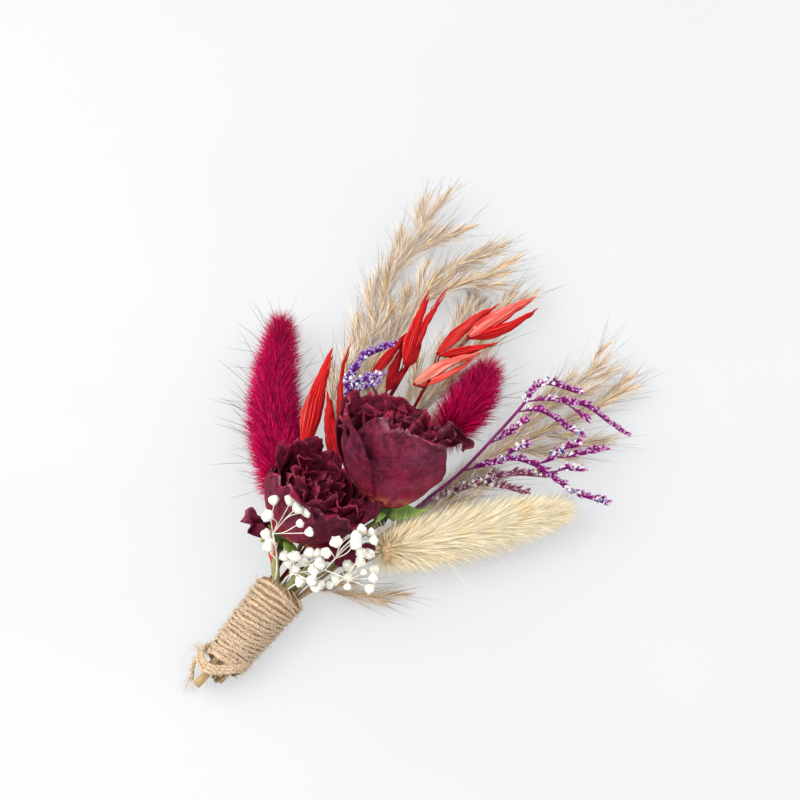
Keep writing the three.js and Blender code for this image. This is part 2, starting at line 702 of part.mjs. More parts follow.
// Oat sprays
const leftOats = {
  name: 'oat_spray_left',
  stemPoints: [...fineStem(-1.87, 0, 13), [-6.2, 30, 6.8], [-9.4, 38, 7.8], [-13.4, 46, 9.6]],
  spikelets: [
    {
      from: [-13.4, 46, 9.6],
      via: [[-16.6, 50, 13]],
      base: [-16.8, 54, 17],
      tip: [-29.8, 77.6, 18],
      secondTip: [-26.4, 78, 17],
      halfWidth: 2.7,
    },
    {
      from: [-13.4, 46, 9.6],
      via: [[-14.4, 52, 12.6]],
      base: [-13.2, 59, 15.4],
      tip: [-24.2, 80, 19],
      halfWidth: 2.3,
    },
    {
      from: [-4.8, 22, 6.9],
      via: [[-8.4, 23, 8.6]],
      base: [-9.8, 23.7, 11.4],
      tip: [-15, 30.3, 16],
      halfWidth: 1.7,
    },
  ],
};
const middleOats = {
  name: 'oat_spray_middle',
  stemPoints: [...fineStem(-1, 0), [-3.4, 40, 6.6], [-7.2, 60, 8.6], [-8.4, 72, 15]],
  spikelets: [
    {
      from: [-8.4, 72, 15],
      base: [-8.4, 78, 20.6],
      tip: [-19.4, 99, 22],
      secondTip: [-14.8, 107.4, 21.4],
      halfWidth: 2.4,
    },
    { from: [-8.4, 72, 15], base: [-12.6, 76, 18.4], tip: [-20.8, 94, 17], halfWidth: 2.1 },
  ],
};
const rightOats = {
  name: 'oat_spray_right',
  stemPoints: [
    ...fineStem(0, 0),
    [-0.6, 42, 6.8],
    [-2, 62, 7.4],
    [-2.6, 76, 13],
    [-3.2, 86, 18.4],
  ],
  spikelets: [
    {
      from: [-3.2, 86, 18.4],
      base: [-5.2, 92.4, 20.6],
      tip: [-2.6, 115, 21.4],
      secondTip: [-6.6, 110.6, 20.6],
      halfWidth: 2.2,
    },
    {
      from: [-3.2, 86, 18.4],
      via: [[-1.4, 94, 17.6]],
      base: [-0.6, 101, 16.6],
      tip: [4.6, 125.4, 15.6],
      secondTip: [7.8, 120.4, 15.4],
      halfWidth: 2.5,
    },
    {
      from: [-3.2, 86, 18.4],
      base: [0.6, 90.6, 20.4],
      tip: [5.2, 106.4, 21],
      halfWidth: 2.1,
    },
  ],
};
const oats = [leftOats, middleOats, rightOats];

// Sea lavender sprigs
const rightLavender = {
  name: 'sea_lavender_right',
  stemPoints: [
    ...fineStem(1.5, 1),
    [7.6, 34, 11.4],
    [11.2, 44, 10.8],
    [12.8, 52, 9.6],
    [15, 61, 11],
    [18, 70, 14],
    [19.6, 78, 17],
    [20.4, 97, 16],
  ],
  crown: [[22, 104, 16.4], [27, 108, 15]],
  branches: [
    { points: [[20.3, 96, 16], [29, 104, 16], [37, 107.4, 14.4], [44.2, 107, 12]] },
    { points: [[20, 91, 16.4], [26.4, 98, 16], [33, 98, 14.6], [38, 95.6, 13]] },
    { points: [[19.8, 80, 17], [22.6, 84, 17.6], [25.4, 90, 17.4]] },
    { points: [[18, 70, 14], [24, 77, 16], [34, 84.4, 15], [42, 88, 13.4], [49, 89, 12]] },
    { points: [[31, 82.4, 15.3], [34.6, 88, 15.4], [40.6, 94.6, 13.4], [43.6, 99, 12]] },
    { points: [[23, 75.8, 15.6], [25.6, 80.6, 17.6], [30, 85.6, 17.8]] },
  ],
  seed: 41,
};
const lowLavender = {
  name: 'sea_lavender_low',
  stemPoints: [...fineStem(1, 0), [5.8, 33, 6], [11, 47, 5.4], [14, 59, 7.6]],
  crown: [[20.4, 68, 11.6], [28, 78, 13], [35.6, 84.6, 11]],
  branches: [{ points: [[12.4, 52.6, 6.3], [16.4, 58, 5.6], [20.6, 68, 7.4], [24, 77, 9]], bare: 0.35 }],
  seed: 42,
};
const leftLavender = {
  name: 'sea_lavender_left',
  stemPoints: [
    ...fineStem(-0.5, -1),
    [-6.2, 40, 6.2],
    [-9, 52, 9],
    [-10.6, 60, 14],
    [-13, 66, 20],
  ],
  crown: [[-16.6, 72, 23], [-18, 79, 24.4], [-14.7, 84.1, 25.6]],
  branches: [{ points: [[-13, 66, 20], [-15.4, 70.4, 23.4], [-12.6, 75, 24]], bare: 0.3 }],
  seed: 43,
};
const lavenders = [rightLavender, lowLavender, leftLavender];

// Baby's breath sprays
const leftBreath = {
  name: 'babys_breath_left',
  stemPoints: [...fineStem(-0.87, 1.95, 13), [-3.2, 22.6, 16.4], [-5.4, 24.6, 25]],
  hubs: [
    { at: [-5.4, 24.6, 25], towards: [-5.4, 27.6, 31], buds: 6, spread: 0.8, turn: 0.4 },
    {
      from: [-3.2, 22.6, 16.4],
      at: [-4.8, 22.2, 18.6],
      towards: [-8, 23.2, 21.6],
      buds: 2,
      spread: 0.5,
      turn: 2,
    },
  ],
  seed: 51,
};
const middleBreath = {
  name: 'babys_breath_middle',
  stemPoints: [...fineStem(0, 1.95, 13), [0.8, 21.4, 13.4], [1.8, 21.8, 15.6]],
  hubs: [{ at: [1.8, 21.8, 15.6], towards: [2.6, 24.2, 20], buds: 7, spread: 1.1, turn: 0 }],
  seed: 53,
};
const rightBreath = {
  name: 'babys_breath_right',
  stemPoints: [...fineStem(0.87, 1.95, 13), [5.4, 23.4, 15], [8.8, 26.6, 19]],
  hubs: [
    {
      from: [8.8, 26.6, 19],
      at: [10.4, 29, 23.4],
      towards: [14, 33.4, 26.4],
      buds: 6,
      spread: 0.9,
      turn: 1,
    },
    {
      from: [8.8, 26.6, 19],
      at: [14, 28.6, 17.6],
      towards: [18.2, 31.4, 15.4],
      buds: 6,
      spread: 0.95,
      turn: 3,
    },
  ],
  seed: 52,
};
const breaths = [leftBreath, middleBreath, rightBreath];

// What each piece keeps clear
for (const rose of roses) {
  const at = (height) =>
    vector(rose.foot).addScaledVector(vector(rose.axis).normalize(), height).toArray();
  keep(rose.name, [at(1), at(0.45 * rose.height)], 4, { endRadius: 0.85 * rose.radius });
  keep(rose.name, [at(0.45 * rose.height), at(rose.height)], 0.85 * rose.radius, {
    endRadius: rose.radius + 2,
  });
  keep(rose.name, [...rose.stemPoints, at(-5)], roseStemRadius);
  for (const sepal of rose.sepals) {
    const bloom = bloomFrame(rose);
    const ends = [0, 1].map((along) => sepalPoint(bloom, sepal, 0, along).toArray());
    keep(rose.name, ends, sepal.width);
  }
}
for (const tail of tails) {
  keep(tail.name, [tail.base, tail.bow, tail.tip], tail.furRadius, { shared: true });
  keep(tail.name, [...tail.stemPoints, tail.base], stemRadius);
}
for (const reed of plumes) {
  for (const { points } of [reed.crown, ...reed.fronds]) keep(reed.name, points, 1, { shared: true });
  keep(reed.name, reed.stemPoints, stemRadius);
}
for (const oat of oats) {
  keep(oat.name, oat.stemPoints, stemRadius);
  for (const { from, via = [], base, tip, secondTip, halfWidth } of oat.spikelets) {
    keep(oat.name, [from, ...via, base], stemRadius);
    keep(oat.name, [base, tip], halfWidth + 0.6);
    if (secondTip) keep(oat.name, [base, secondTip], halfWidth + 0.6);
  }
}
for (const sprig of lavenders) {
  keep(sprig.name, sprig.stemPoints, stemRadius);
  keep(sprig.name, [sprig.stemPoints.at(-1), ...sprig.crown], 2.5);
  for (const branch of sprig.branches) keep(sprig.name, branch.points, 2.5);
}
for (const breath of breaths) {
  keep(breath.name, breath.stemPoints, stemRadius);
  for (const hub of breath.hubs) keep(breath.name, [hub.at, hub.towards], 5);
}

// The finished boutonniere
const boutonniere = new THREE.Group();
function place(name, solid, color) {
  const { vertProperties, triVerts, numProp } = solid.getMesh();
  const geometry = new THREE.BufferGeometry();
  const points = new Float32Array((vertProperties.length / numProp) * 3);
  for (let i = 0; i < points.length; i += 3) {
    points.set(vertProperties.subarray((i / 3) * numProp, (i / 3) * numProp + 3), i);
  }
  geometry.setAttribute('position', new THREE.BufferAttribute(points, 3));
  geometry.setIndex(new THREE.BufferAttribute(new Uint32Array(triVerts), 1));
  geometry.computeVertexNormals();
  const material = new THREE.MeshStandardMaterial({ color, roughness: 0.9, metalness: 0 });
  const mesh = new THREE.Mesh(geometry, material);
  mesh.name = name;
  boutonniere.add(mesh);
}

place('twine_wrap', twineWinding(), colours.twine);
for (const rose of roses) {
  place(`${rose.name}_petals`, rosePetals(rose), colours.rose);
  place(`${rose.name}_stem`, roseStem(rose), colours.green);
}
for (const tail of tails) place(tail.name, bunnyTail(tail), tail.colour);
for (const reed of plumes) place(reed.name, plume(reed), colours.reed);
for (const oat of oats) place(oat.name, oatSpray(oat), colours.oat);
for (const sprig of lavenders) place(sprig.name, seaLavender(sprig), colours.lavender);
for (const breath of breaths) place(breath.name, babysBreath(breath), colours.white);

export default boutonniere;
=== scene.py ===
import math
import random
import bpy
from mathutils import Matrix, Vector, noise


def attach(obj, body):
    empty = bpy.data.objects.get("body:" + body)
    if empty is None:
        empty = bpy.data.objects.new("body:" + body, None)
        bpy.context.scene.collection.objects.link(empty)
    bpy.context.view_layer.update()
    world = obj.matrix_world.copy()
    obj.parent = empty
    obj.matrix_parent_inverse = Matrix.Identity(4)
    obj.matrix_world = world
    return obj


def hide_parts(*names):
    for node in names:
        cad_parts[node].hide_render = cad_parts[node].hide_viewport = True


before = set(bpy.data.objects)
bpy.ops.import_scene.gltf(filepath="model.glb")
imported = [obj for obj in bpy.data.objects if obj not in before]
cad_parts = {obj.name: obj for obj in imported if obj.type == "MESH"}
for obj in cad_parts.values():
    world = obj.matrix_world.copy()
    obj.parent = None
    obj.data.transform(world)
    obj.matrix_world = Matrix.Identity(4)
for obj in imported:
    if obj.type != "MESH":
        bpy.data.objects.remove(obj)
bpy.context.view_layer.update()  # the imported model: sizes below are in millimetres, in its own frame
scene = bpy.context.scene
noise.seed_set(9)  # noise_vector is offset by the clock without this
mm = 0.001
goldenAngle = math.radians(137.5)
facing = Vector((0.3, -0.4, 0.866)).normalized()  # the side that shows when worn
print("frame loaded:", len(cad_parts), "nodes")

# Camera and light

photoSize = 800
cameraSetup = {
    "azimuth": math.radians(37), "elevation": math.radians(60), "distance": 510,
    "lens": 85, "sensor": 36, "target": Vector((-12, 85, 0)),
}
lightSetup = {
    "key": {"place": (-380, -220, 560), "size": 700, "power": 7.2, "colour": (1, 0.99, 0.97)},
    "fill": {"place": (380, 200, 600), "size": 800, "power": 3.2, "colour": (0.97, 0.98, 1)},
}
worldSetup = {"Color": (0.97, 0.98, 1, 1), "Strength": 1.1}
azimuth, elevation = cameraSetup["azimuth"], cameraSetup["elevation"]
rightward = Vector((math.cos(azimuth), math.sin(azimuth), 0))
away = Vector((
    math.sin(azimuth) * math.cos(elevation), -math.cos(azimuth) * math.cos(elevation), math.sin(elevation)
))
upward = away.cross(rightward)
eye = cameraSetup["target"] + away * cameraSetup["distance"]


def fromPhoto(x, y, height):  # the point that height above the table at a pixel of the photograph
    focal = photoSize * cameraSetup["lens"] / cameraSetup["sensor"]
    ray = rightward * (x - photoSize / 2) / focal - upward * (y - photoSize / 2) / focal - away
    return eye + ray * ((height - eye.z) / ray.z)


def lookingAt(name, data, place, target):
    thing = bpy.data.objects.new(name, data)
    thing.location = Vector(place) * mm
    thing.rotation_euler = (Vector(target) - Vector(place)).to_track_quat("-Z", "Y").to_euler()
    scene.collection.objects.link(thing)
    return thing


def addCamera():
    data = bpy.data.cameras.new("camera")
    data.lens = cameraSetup["lens"]
    data.sensor_width = cameraSetup["sensor"]
    data.clip_start = 0.01
    scene.camera = lookingAt("camera", data, eye, cameraSetup["target"])


def addLights():
    for name, setup in lightSetup.items():
        light = bpy.data.lights.new(name, "AREA")
        light.size = setup["size"] * mm
        light.energy = setup["power"]
        light.color = setup["colour"]
        lookingAt(name, light, setup["place"], (0, 70, 0))
    scene.world = bpy.data.worlds.new("studio")
    scene.world.use_nodes = True
    for name, value in worldSetup.items():
        scene.world.node_tree.nodes["Background"].inputs[name].default_value = value


# Nodes, for shapes and for materials

nodeFamilies = ("GeometryNode", "ShaderNode", "FunctionNode")
tableGap = 0.8  # how far the tips of small parts stay above the table
steepest = 0.97  # how upright they may stand


def pick(sockets, name=None):  # the first socket in use, or the first of that name
    return next(s for s in sockets if s.enabled and name in (None, s.name))


class Value:  # what a node puts out: a sign between two of them adds a node
    def __init__(self, nodes, socket):
        self.nodes, self.socket = nodes, socket
        self.isVector = socket.type in ("VECTOR", "RGBA")

    def maths(self, operation, *others):
        return self.nodes.node("VectorMath" if self.isVector else "Math", self, *others, operation=operation)

    def also(self, name):  # another output of the same node
        return Value(self.nodes, pick(self.socket.node.outputs, name))

    def __add__(self, other):
        return self.maths("ADD", other)

    def __sub__(self, other):
        return self.maths("SUBTRACT", other)

    def __rsub__(self, other):
        return self.nodes.node("Math", other, self, operation="SUBTRACT")

    def __mul__(self, other):
        return self.maths("SCALE" if self.isVector and not isinstance(other, tuple) else "MULTIPLY", other)

    def __truediv__(self, other):
        return self.maths("DIVIDE", other)

    def __gt__(self, other):
        return self.maths("GREATER_THAN", other)

    __radd__, __rmul__ = __add__, __mul__


class Nodes:  # a node tree, of a shape or of a material
    def node(self, kind, *first, inputs=None, out=None, **settings):
        # Adds a node of that kind: first fills its first inputs, inputs others by name
        family = next(family for family in nodeFamilies if hasattr(bpy.types, family + kind))
        made = self.tree.nodes.new(family + kind)
        for name, value in settings.items():
            setattr(made, name, value)
        given = list(zip([s for s in made.inputs if s.enabled], first))
        given += [(pick(made.inputs, name), value) for name, value in (inputs or {}).items()]
        for socket, value in given:
            if isinstance(value, Value):
                self.tree.links.new(value.socket, socket)
            else:
                socket.default_value = (*value, 1) if socket.type == "RGBA" else value
        return Value(self, pick(made.outputs, out))


class Growth(Nodes):  # a shape's tree, from mesh edges or faces, with its named inputs in given
    def __init__(self, name, sizes):
        self.tree = bpy.data.node_groups.new(name, "GeometryNodeTree")
        for label, value in {"Geometry": "Geometry", **sizes}.items():
            kind = value if isinstance(value, str) else {int: "Int", float: "Float"}[type(value)]
            socket = self.tree.interface.new_socket(label, in_out="INPUT", socket_type="NodeSocket" + kind)
            if kind != value:
                socket.default_value = value
        self.tree.interface.new_socket("Geometry", in_out="OUTPUT", socket_type="NodeSocketGeometry")
        self.given = {s.name: Value(self, s) for s in self.tree.nodes.new("NodeGroupInput").outputs}

    def chance(self, low, high, seed):
        return self.node("RandomValue", low, high, inputs={"Seed": seed})

    def mark(self, name, kind="FLOAT"):
        return self.node("InputNamedAttribute", name, data_type=kind)

    def store(self, shape, domain="POINT", **marks):
        for name, value in marks.items():
            inputs = {"Name": name, "Value": value}
            shape = self.node("StoreNamedAttribute", shape, inputs=inputs, domain=domain)
        return shape

    def painted(self, shape, slot="Material"):
        return self.node("SetMaterial", shape, inputs={"Material": self.given[slot]})

    def smooth(self, shape, slot="Material"):
        return self.painted(self.node("SetShadeSmooth", shape), slot)

    def join(self, parts):
        joined = self.node("JoinGeometry")
        for part in reversed(parts):
            self.tree.links.new(part.socket, joined.socket.node.inputs[0])
        return joined

    def finish(self, *parts):
        self.tree.links.new(self.join(parts).socket, self.tree.nodes.new("NodeGroupOutput").inputs[0])
        return self.tree

    def curve(self, name):  # the edges between points that have that mark
        return self.node("MeshToCurve", self.given["Geometry"], self.mark(name) > 0.0)

    def sweep(self, curve, scale, profile):  # a closed tube along the curve
        return self.node("CurveToMesh", curve, profile, inputs={"Scale": scale, "Fill Caps": True})

    def circle(self, sides, radius=1.0):
        return self.node("CurvePrimitiveCircle", sides, radius)

    def stems(self):  # the edges as a curve, and as round stems as thick as their thick mark
        curve = self.curve("thick")
        return curve, self.smooth(self.sweep(curve, self.mark("thick"), self.circle(5)), "Stem material")

    def spotsAlong(self, curve, spacing, seed, upward):
        # Points along the curve, with its tangent and a vector square to it, turned at random
        spots = self.node("CurveToPoints", curve, spacing, mode="LENGTH")
        tangent, square, ends = spots.also("Tangent"), spots.also("Normal"), (0.0, 2 * math.pi)
        if upward:
            square = self.node("VectorMath", (-0.4, 0.5, 0.75), tangent, operation="CROSS_PRODUCT")
            square = tangent.maths("CROSS_PRODUCT", square).maths("NORMALIZE")
            ends = (-1.4, 1.4)
        turn = self.chance(*ends, seed)
        return spots, tangent, self.node("VectorRotate", square, inputs={"Axis": tangent, "Angle": turn})

    def grow(self, points, along, outward, part, length, lean, seed, leanSpread=0.3, lengthSpread=0.3,
             clumps=500.0, clumping=0.3, bend=0.0, kind=0.0):
        # Sets a copy of the part at each point, leaning from along towards outward, clear of the table
        lean = lean + self.chance(-leanSpread, leanSpread, seed)
        heading = along * lean.maths("COSINE") + outward * lean.maths("SINE")
        wave = self.node("TexNoise", inputs={"Scale": clumps, "Detail": 1.0}, out="Color") - (0.5, 0.5, 0.5)
        heading = self.node("SeparateXYZ", (heading + wave * clumping).maths("NORMALIZE"))
        reach = self.mark("reach")
        length = length * reach * self.chance(1 - lengthSpread, 1 + lengthSpread, seed + 1)
        height = self.node("SeparateXYZ", self.node("InputPosition"), out="Z")
        lowest = (tableGap * mm - height) / length + bend
        rise = heading.also("Z").maths("MAXIMUM", lowest).maths("MINIMUM", steepest)
        level = (1.0 - rise * rise).maths("SQRT")
        flat = self.node("CombineXYZ", heading, heading.also("Y")).maths("NORMALIZE") * level
        raised = flat + self.node("CombineXYZ", 0.0, 0.0, rise)
        upright = self.node("AlignRotationToVector", inputs={"Vector": raised}, axis="Z")
        turned = self.node(
            "AlignRotationToVector", upright, inputs={"Vector": outward}, axis="X", pivot_axis="Z"
        )
        shape = self.node("ObjectInfo", self.given[part], out="Geometry")
        copies = {"Instance": shape, "Rotation": turned, "Scale": length}
        grown = self.node("InstanceOnPoints", points, reach > 0.02, inputs=copies)
        grown = self.store(grown, "INSTANCE", tint=self.chance(0.0, 1.0, seed + 2), kind=kind)
        return self.painted(self.node("RealizeInstances", grown))


def bakeTree(piece, tree, sizes, values):  # runs the tree on the piece and keeps the result as its mesh
    values = {name: size * mm for name, size in sizes.items()} | values
    modifier = piece.modifiers.new(tree.name, "NODES")
    modifier.node_group = tree
    for item in tree.interface.items_tree:
        if item.in_out == "INPUT" and item.name in values:
            modifier[item.identifier] = values[item.name]
    graph = bpy.context.evaluated_depsgraph_get()
    mesh = bpy.data.meshes.new_from_object(
        piece.evaluated_get(graph), preserve_all_data_layers=True, depsgraph=graph
    )
    piece.modifiers.remove(modifier)
    rough, piece.data = piece.data, mesh
    mesh.name = piece.name
    bpy.data.meshes.remove(rough)


# Paths and plain meshes, in millimetres

def mix(a, b, share):
    return a + (b - a) * share


def around(sides):
    return [2 * math.pi * k / sides for k in range(sides)]


def evenly(points, spacing):
    runs = [(b - a).length for a, b in zip(points, points[1:])]
    count = max(2, round(sum(runs) / spacing))
    found, run, gone = [], 0, 0.0
    for k in range(count + 1):
        wanted = sum(runs) * k / count
        while run < len(runs) - 1 and gone + runs[run] < wanted:
            gone += runs[run]
            run += 1
        share = min(1, (wanted - gone) / max(runs[run], 1e-9))
        found.append(points[run].lerp(points[run + 1], share))
    return found


def smoothPath(points, spacing=1.0):  # a centripetal curve through the points, as in the frame
    given = [Vector(p) for p in points]
    given = [2 * given[0] - given[1], *given, 2 * given[-1] - given[-2]]
    fine = []
    for p0, p1, p2, p3 in zip(given, given[1:], given[2:], given[3:]):
        d0, d1, d2 = (max((b - a).length, 1e-6) ** 0.5 for a, b in ((p0, p1), (p1, p2), (p2, p3)))
        leave = ((p1 - p0) / d0 - (p2 - p0) / (d0 + d1) + (p2 - p1) / d1) * d1
        arrive = ((p2 - p1) / d1 - (p3 - p1) / (d1 + d2) + (p3 - p2) / d2) * d1
        for t in (k / 16 for k in range(16)):
            fine.append(
                p1 * (2 * t**3 - 3 * t**2 + 1) + leave * (t**3 - 2 * t**2 + t)
                + p2 * (3 * t**2 - 2 * t**3) + arrive * (t**3 - t**2)
            )
    return evenly([*fine, given[-2]], spacing)


def photoPath(line, heights, spacing=1.0):  # pixels of the photograph, at heights from first to last
    last = len(line) - 1
    return smoothPath([fromPhoto(x, y, mix(*heights, i / last)) for i, (x, y) in enumerate(line)], spacing)


def tangents(path):
    return [(b - a).normalized() for a, b in zip([path[0], *path[:-1]], [*path[1:], path[-1]])]


def across(path):  # two vectors square to each point's tangent, turned as little as can be
    found = []
    side = Vector((0, 0, 1)).cross(tangents(path)[0])
    for tangent in tangents(path):
        side = (side - tangent * side.dot(tangent)).normalized()
        found.append((side, tangent.cross(side)))
    return found


def ringFaces(rows, sides):  # the faces between rings of points
    corners = [(i * sides, k, (k + 1) % sides) for i in range(rows) for k in range(sides)]
    return [(i + k, i + after, i + after + sides, i + k + sides) for i, k, after in corners]


class Draft:  # a mesh in the making: points, edges, faces, and named values at each point
    def __init__(self):
        self.points, self.edges, self.faces, self.skins, self.marks = [], [], [], [], {}

    def add(self, points, faces=(), edges=(), skin=0, **marks):
        first = len(self.points)
        self.points += points
        self.faces += [[first + i for i in face] for face in faces]
        self.edges += [[first + i for i in edge] for edge in edges]
        self.skins += [skin] * len(faces)
        for name in {**self.marks, **marks}:
            value = marks.get(name, 0.0)
            values = value if isinstance(value, list) else [value] * len(points)
            self.marks.setdefault(name, [0.0] * first).extend(values)

    def path(self, path, **marks):
        self.add(path, edges=[(i, i + 1) for i in range(len(path) - 1)], **marks)

    def tube(self, path, radiusAt, sides=8, **marks):
        rings = []
        for i, (point, (side, over)) in enumerate(zip(path, across(path))):
            radius = radiusAt(i / (len(path) - 1))
            for turn in around(sides):
                rings.append(point + radius * (side * math.cos(turn) + over * math.sin(turn)))
        last = len(rings) - sides
        faces = [*ringFaces(len(path) - 1, sides), range(sides)[::-1], range(last, last + sides)]
        for name, value in marks.items():
            if isinstance(value, list):
                marks[name] = [v for v in value for _ in range(sides)]
        self.add(rings, faces, **marks)

    def sheet(self, surface, columns, rows, thickness, **marks):
        # A thin closed blade: surface(u, v) gives its middle, u from -1 to 1 and v from 0 to 1
        row = columns + 1
        spots = [(i, j) for j in range(rows + 1) for i in range(row)]
        middle = {(i, j): surface(-1 + 2 * i / columns, j / rows) for i, j in spots}
        points = []
        for side in (0.5, -0.5):
            for i, j in spots:
                sideways = middle[min(i + 1, columns), j] - middle[max(i - 1, 0), j]
                upwards = middle[i, min(j + 1, rows)] - middle[i, max(j - 1, 0)]
                points.append(middle[i, j] + sideways.cross(upwards).normalized() * side * thickness)
        half = len(spots)
        faces = []
        for a in (j * row + i for j in range(rows) for i in range(columns)):
            face = (a, a + 1, a + row + 1, a + row)
            faces += [face, [half + k for k in reversed(face)]]
        rim = [*range(columns), *(j * row + columns for j in range(rows))]
        rim += [half - 1 - k for k in rim]
        faces += [(q, p, half + p, half + q) for p, q in zip(rim, rim[1:] + rim[:1])]
        shares = {"u": [i / columns for i, j in spots] * 2, "v": [j / rows for i, j in spots] * 2}
        self.add(points, faces, **shares, outer=[1.0] * half + [0.0] * half, **marks)

    def make(self, name, *materials, hidden=False):
        mesh = bpy.data.meshes.new(name)
        mesh.from_pydata([p * mm for p in self.points], self.edges, self.faces)
        for mark, values in self.marks.items():
            if any(isinstance(value, Vector) for value in values):
                flat = [c for value in values for c in (value or Vector())]
                mesh.attributes.new(mark, "FLOAT_VECTOR", "POINT").data.foreach_set("vector", flat)
            else:
                mesh.attributes.new(mark, "FLOAT", "POINT").data.foreach_set("value", values)
        for material in materials:
            mesh.materials.append(material)
        mesh.polygons.foreach_set("material_index", self.skins)
        mesh.polygons.foreach_set("use_smooth", [True] * len(self.faces))
        piece = bpy.data.objects.new(name, mesh)
        if not hidden:
            scene.collection.objects.link(piece)
        return piece


def bladeAlong(path, widthAt, curl, roll=0.0, crumple=0.0, ribs=0.0, seed=0.0):
    # The middle of a blade along the path, its face towards the camera: curl lifts its edges
    last = len(path) - 1
    ways = tangents(path)

    def surface(u, v):
        i = min(int(v * last), last - 1)
        share = v * last - i
        along = ways[i].lerp(ways[i + 1], share).normalized()
        side = along.cross(away).normalized()
        out = side.cross(along)
        side, out = side * math.cos(roll) + out * math.sin(roll), out * math.cos(roll) - side * math.sin(roll)
        width = widthAt(v)
        place = path[i].lerp(path[i + 1], share) + side * (u * width)
        place += out * (curl * width * u * u + ribs * math.cos(u * math.pi * 5) * min(1, 4 * (1 - v)))
        return place + noise.noise_vector(place * 0.45 + Vector((seed, 0, 0))) * crumple * min(1, 0.2 + v)

    return surface


def smallPart(name, rings, tip, tipRise=1.0, foot=None):
    # A closed part of unit length along Z, from rings of points, for a tree to set
    sides, hub = len(rings[0]), len(rings) * len(rings[0])
    points = [*sum(rings, []), tip, *([foot] if foot else [])]
    faces = [((k + 1) % sides, k, hub + 1) for k in range(sides)] if foot else [range(sides)[::-1]]
    faces += ringFaces(len(rings) - 1, sides)
    faces += [(hub - sides + k, hub - sides + (k + 1) % sides, hub) for k in range(sides)]
    draft = Draft()
    rises = [point[2] for point in points]
    rises[hub] = tipRise
    draft.add([Vector(point) / mm for point in points], faces, rise=rises)
    return draft.make(name, hidden=True)


def hairShape(name, thickness, bend, bends=2, sides=3, flatness=1.0, belly=0.5):
    # One hair or husk, thickness wide, bending towards +X
    rings = []
    for rise in (i / bends for i in range(bends)):
        swell = mix(0.75, 1, math.sin(math.pi * min(1, rise / belly) / 2)) * (1 - rise) ** 0.35
        rings.append([(
            flatness * thickness * swell * math.cos(turn) + bend * rise**2,
            thickness * swell * math.sin(turn), rise,
        ) for turn in around(sides)])
    return smallPart(name, rings, (bend, 0, 1))


def finishPiece(piece, node, slotName):
    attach(piece, "root")
    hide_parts(node)
    piece.data.calc_loop_triangles()
    print(piece.name, "made:", len(piece.data.loop_triangles), "triangles")


# Materials

class Paint(Nodes):  # a material's nodes, with the shader at the end
    def __init__(self, name, **values):
        self.material = bpy.data.materials.new(name)
        self.material.use_nodes = True
        self.tree = self.material.node_tree
        self.shader = self.tree.nodes["Principled BSDF"].inputs
        sockets = {"roughness": "Roughness", "specular": "Specular IOR Level", "glow": "Emission Strength"}
        for key, value in values.items():
            self.shader[sockets[key]].default_value = value

    def marks(self, *names):
        return [self.node("Attribute", attribute_name=name, out="Fac") for name in names]

    def place(self):
        return self.node("TexCoord", out="Object")

    def noise(self, scale, detail=3.0, place=None):
        inputs = {"Scale": scale, "Detail": detail, "Roughness": 0.55}
        return self.node("TexNoise", place or self.place(), inputs=inputs)

    def ramp(self, value, *stops):
        made = self.node("ValToRGB", value)
        elements = made.socket.node.color_ramp.elements
        while len(elements) < len(stops):
            elements.new(0.5)
        for element, (place, colour) in zip(elements, stops):
            element.position = place
            element.color = (*colour, 1)
        return made

    def grey(self, value, *ends):  # a value stretched from the first two ends to the last two, or to 0..1
        return self.node("MapRange", value, *ends)

    def blend(self, share, first, second):
        return self.node("Mix", share, first, second, data_type="RGBA")

    def finish(self, colour, height=None, strength=0.4, distance=0.1):
        self.tree.links.new(colour.socket, self.shader["Base Color"])
        if height:
            inputs = {"Height": height, "Strength": strength, "Distance": distance * mm}
            bump = self.node("Bump", inputs=inputs)
            self.tree.links.new(bump.socket, self.shader["Normal"])
        return self.material


def furPaint(name, root, body, tip, accent, awn, shade):
    paint = Paint(name, roughness=0.8, specular=0.03)
    rise, tint, kind = paint.marks("rise", "tint", "kind")
    colour = paint.ramp(rise, (0.0, root), (0.35, body), (0.65, body), (1.0, tip))
    colour = paint.blend(paint.grey(paint.noise(170.0), 0.52, 0.7, 0.0, 0.8), colour, accent)
    colour = paint.blend(paint.grey(tint, 0, 1, shade, 1.0), (0, 0, 0), colour)
    paintedTuftShade = paint.grey(paint.noise(1100.0, 2.0), 0.4, 0.56, mix(shade, 1, 0.25), 1.0)  # painted shade: darker between tufts, towards the root colour
    return paint.finish(paint.blend(kind, paint.blend(paintedTuftShade, root, colour), awn))


def stemPaint(name, pale, deep, low=None, ends=()):  # low: the colour towards the cut ends
    paint = Paint(name, roughness=0.7, specular=0.2)
    streaks = paint.noise(2200.0, 4.0, paint.node("Mapping", paint.place(), inputs={"Scale": (1, 0.12, 1)}))
    colour = paint.ramp(streaks, (0.3, deep), (0.7, pale))
    if low:
        y = paint.node("SeparateXYZ", paint.place(), out="Y")
        dry = paint.ramp(streaks, (0.3, tuple(0.5 * c for c in low)), (0.65, low))
        colour = paint.blend(paint.grey(y, *(end * mm for end in ends)), colour, dry)
    return paint.finish(colour, streaks, 0.3)


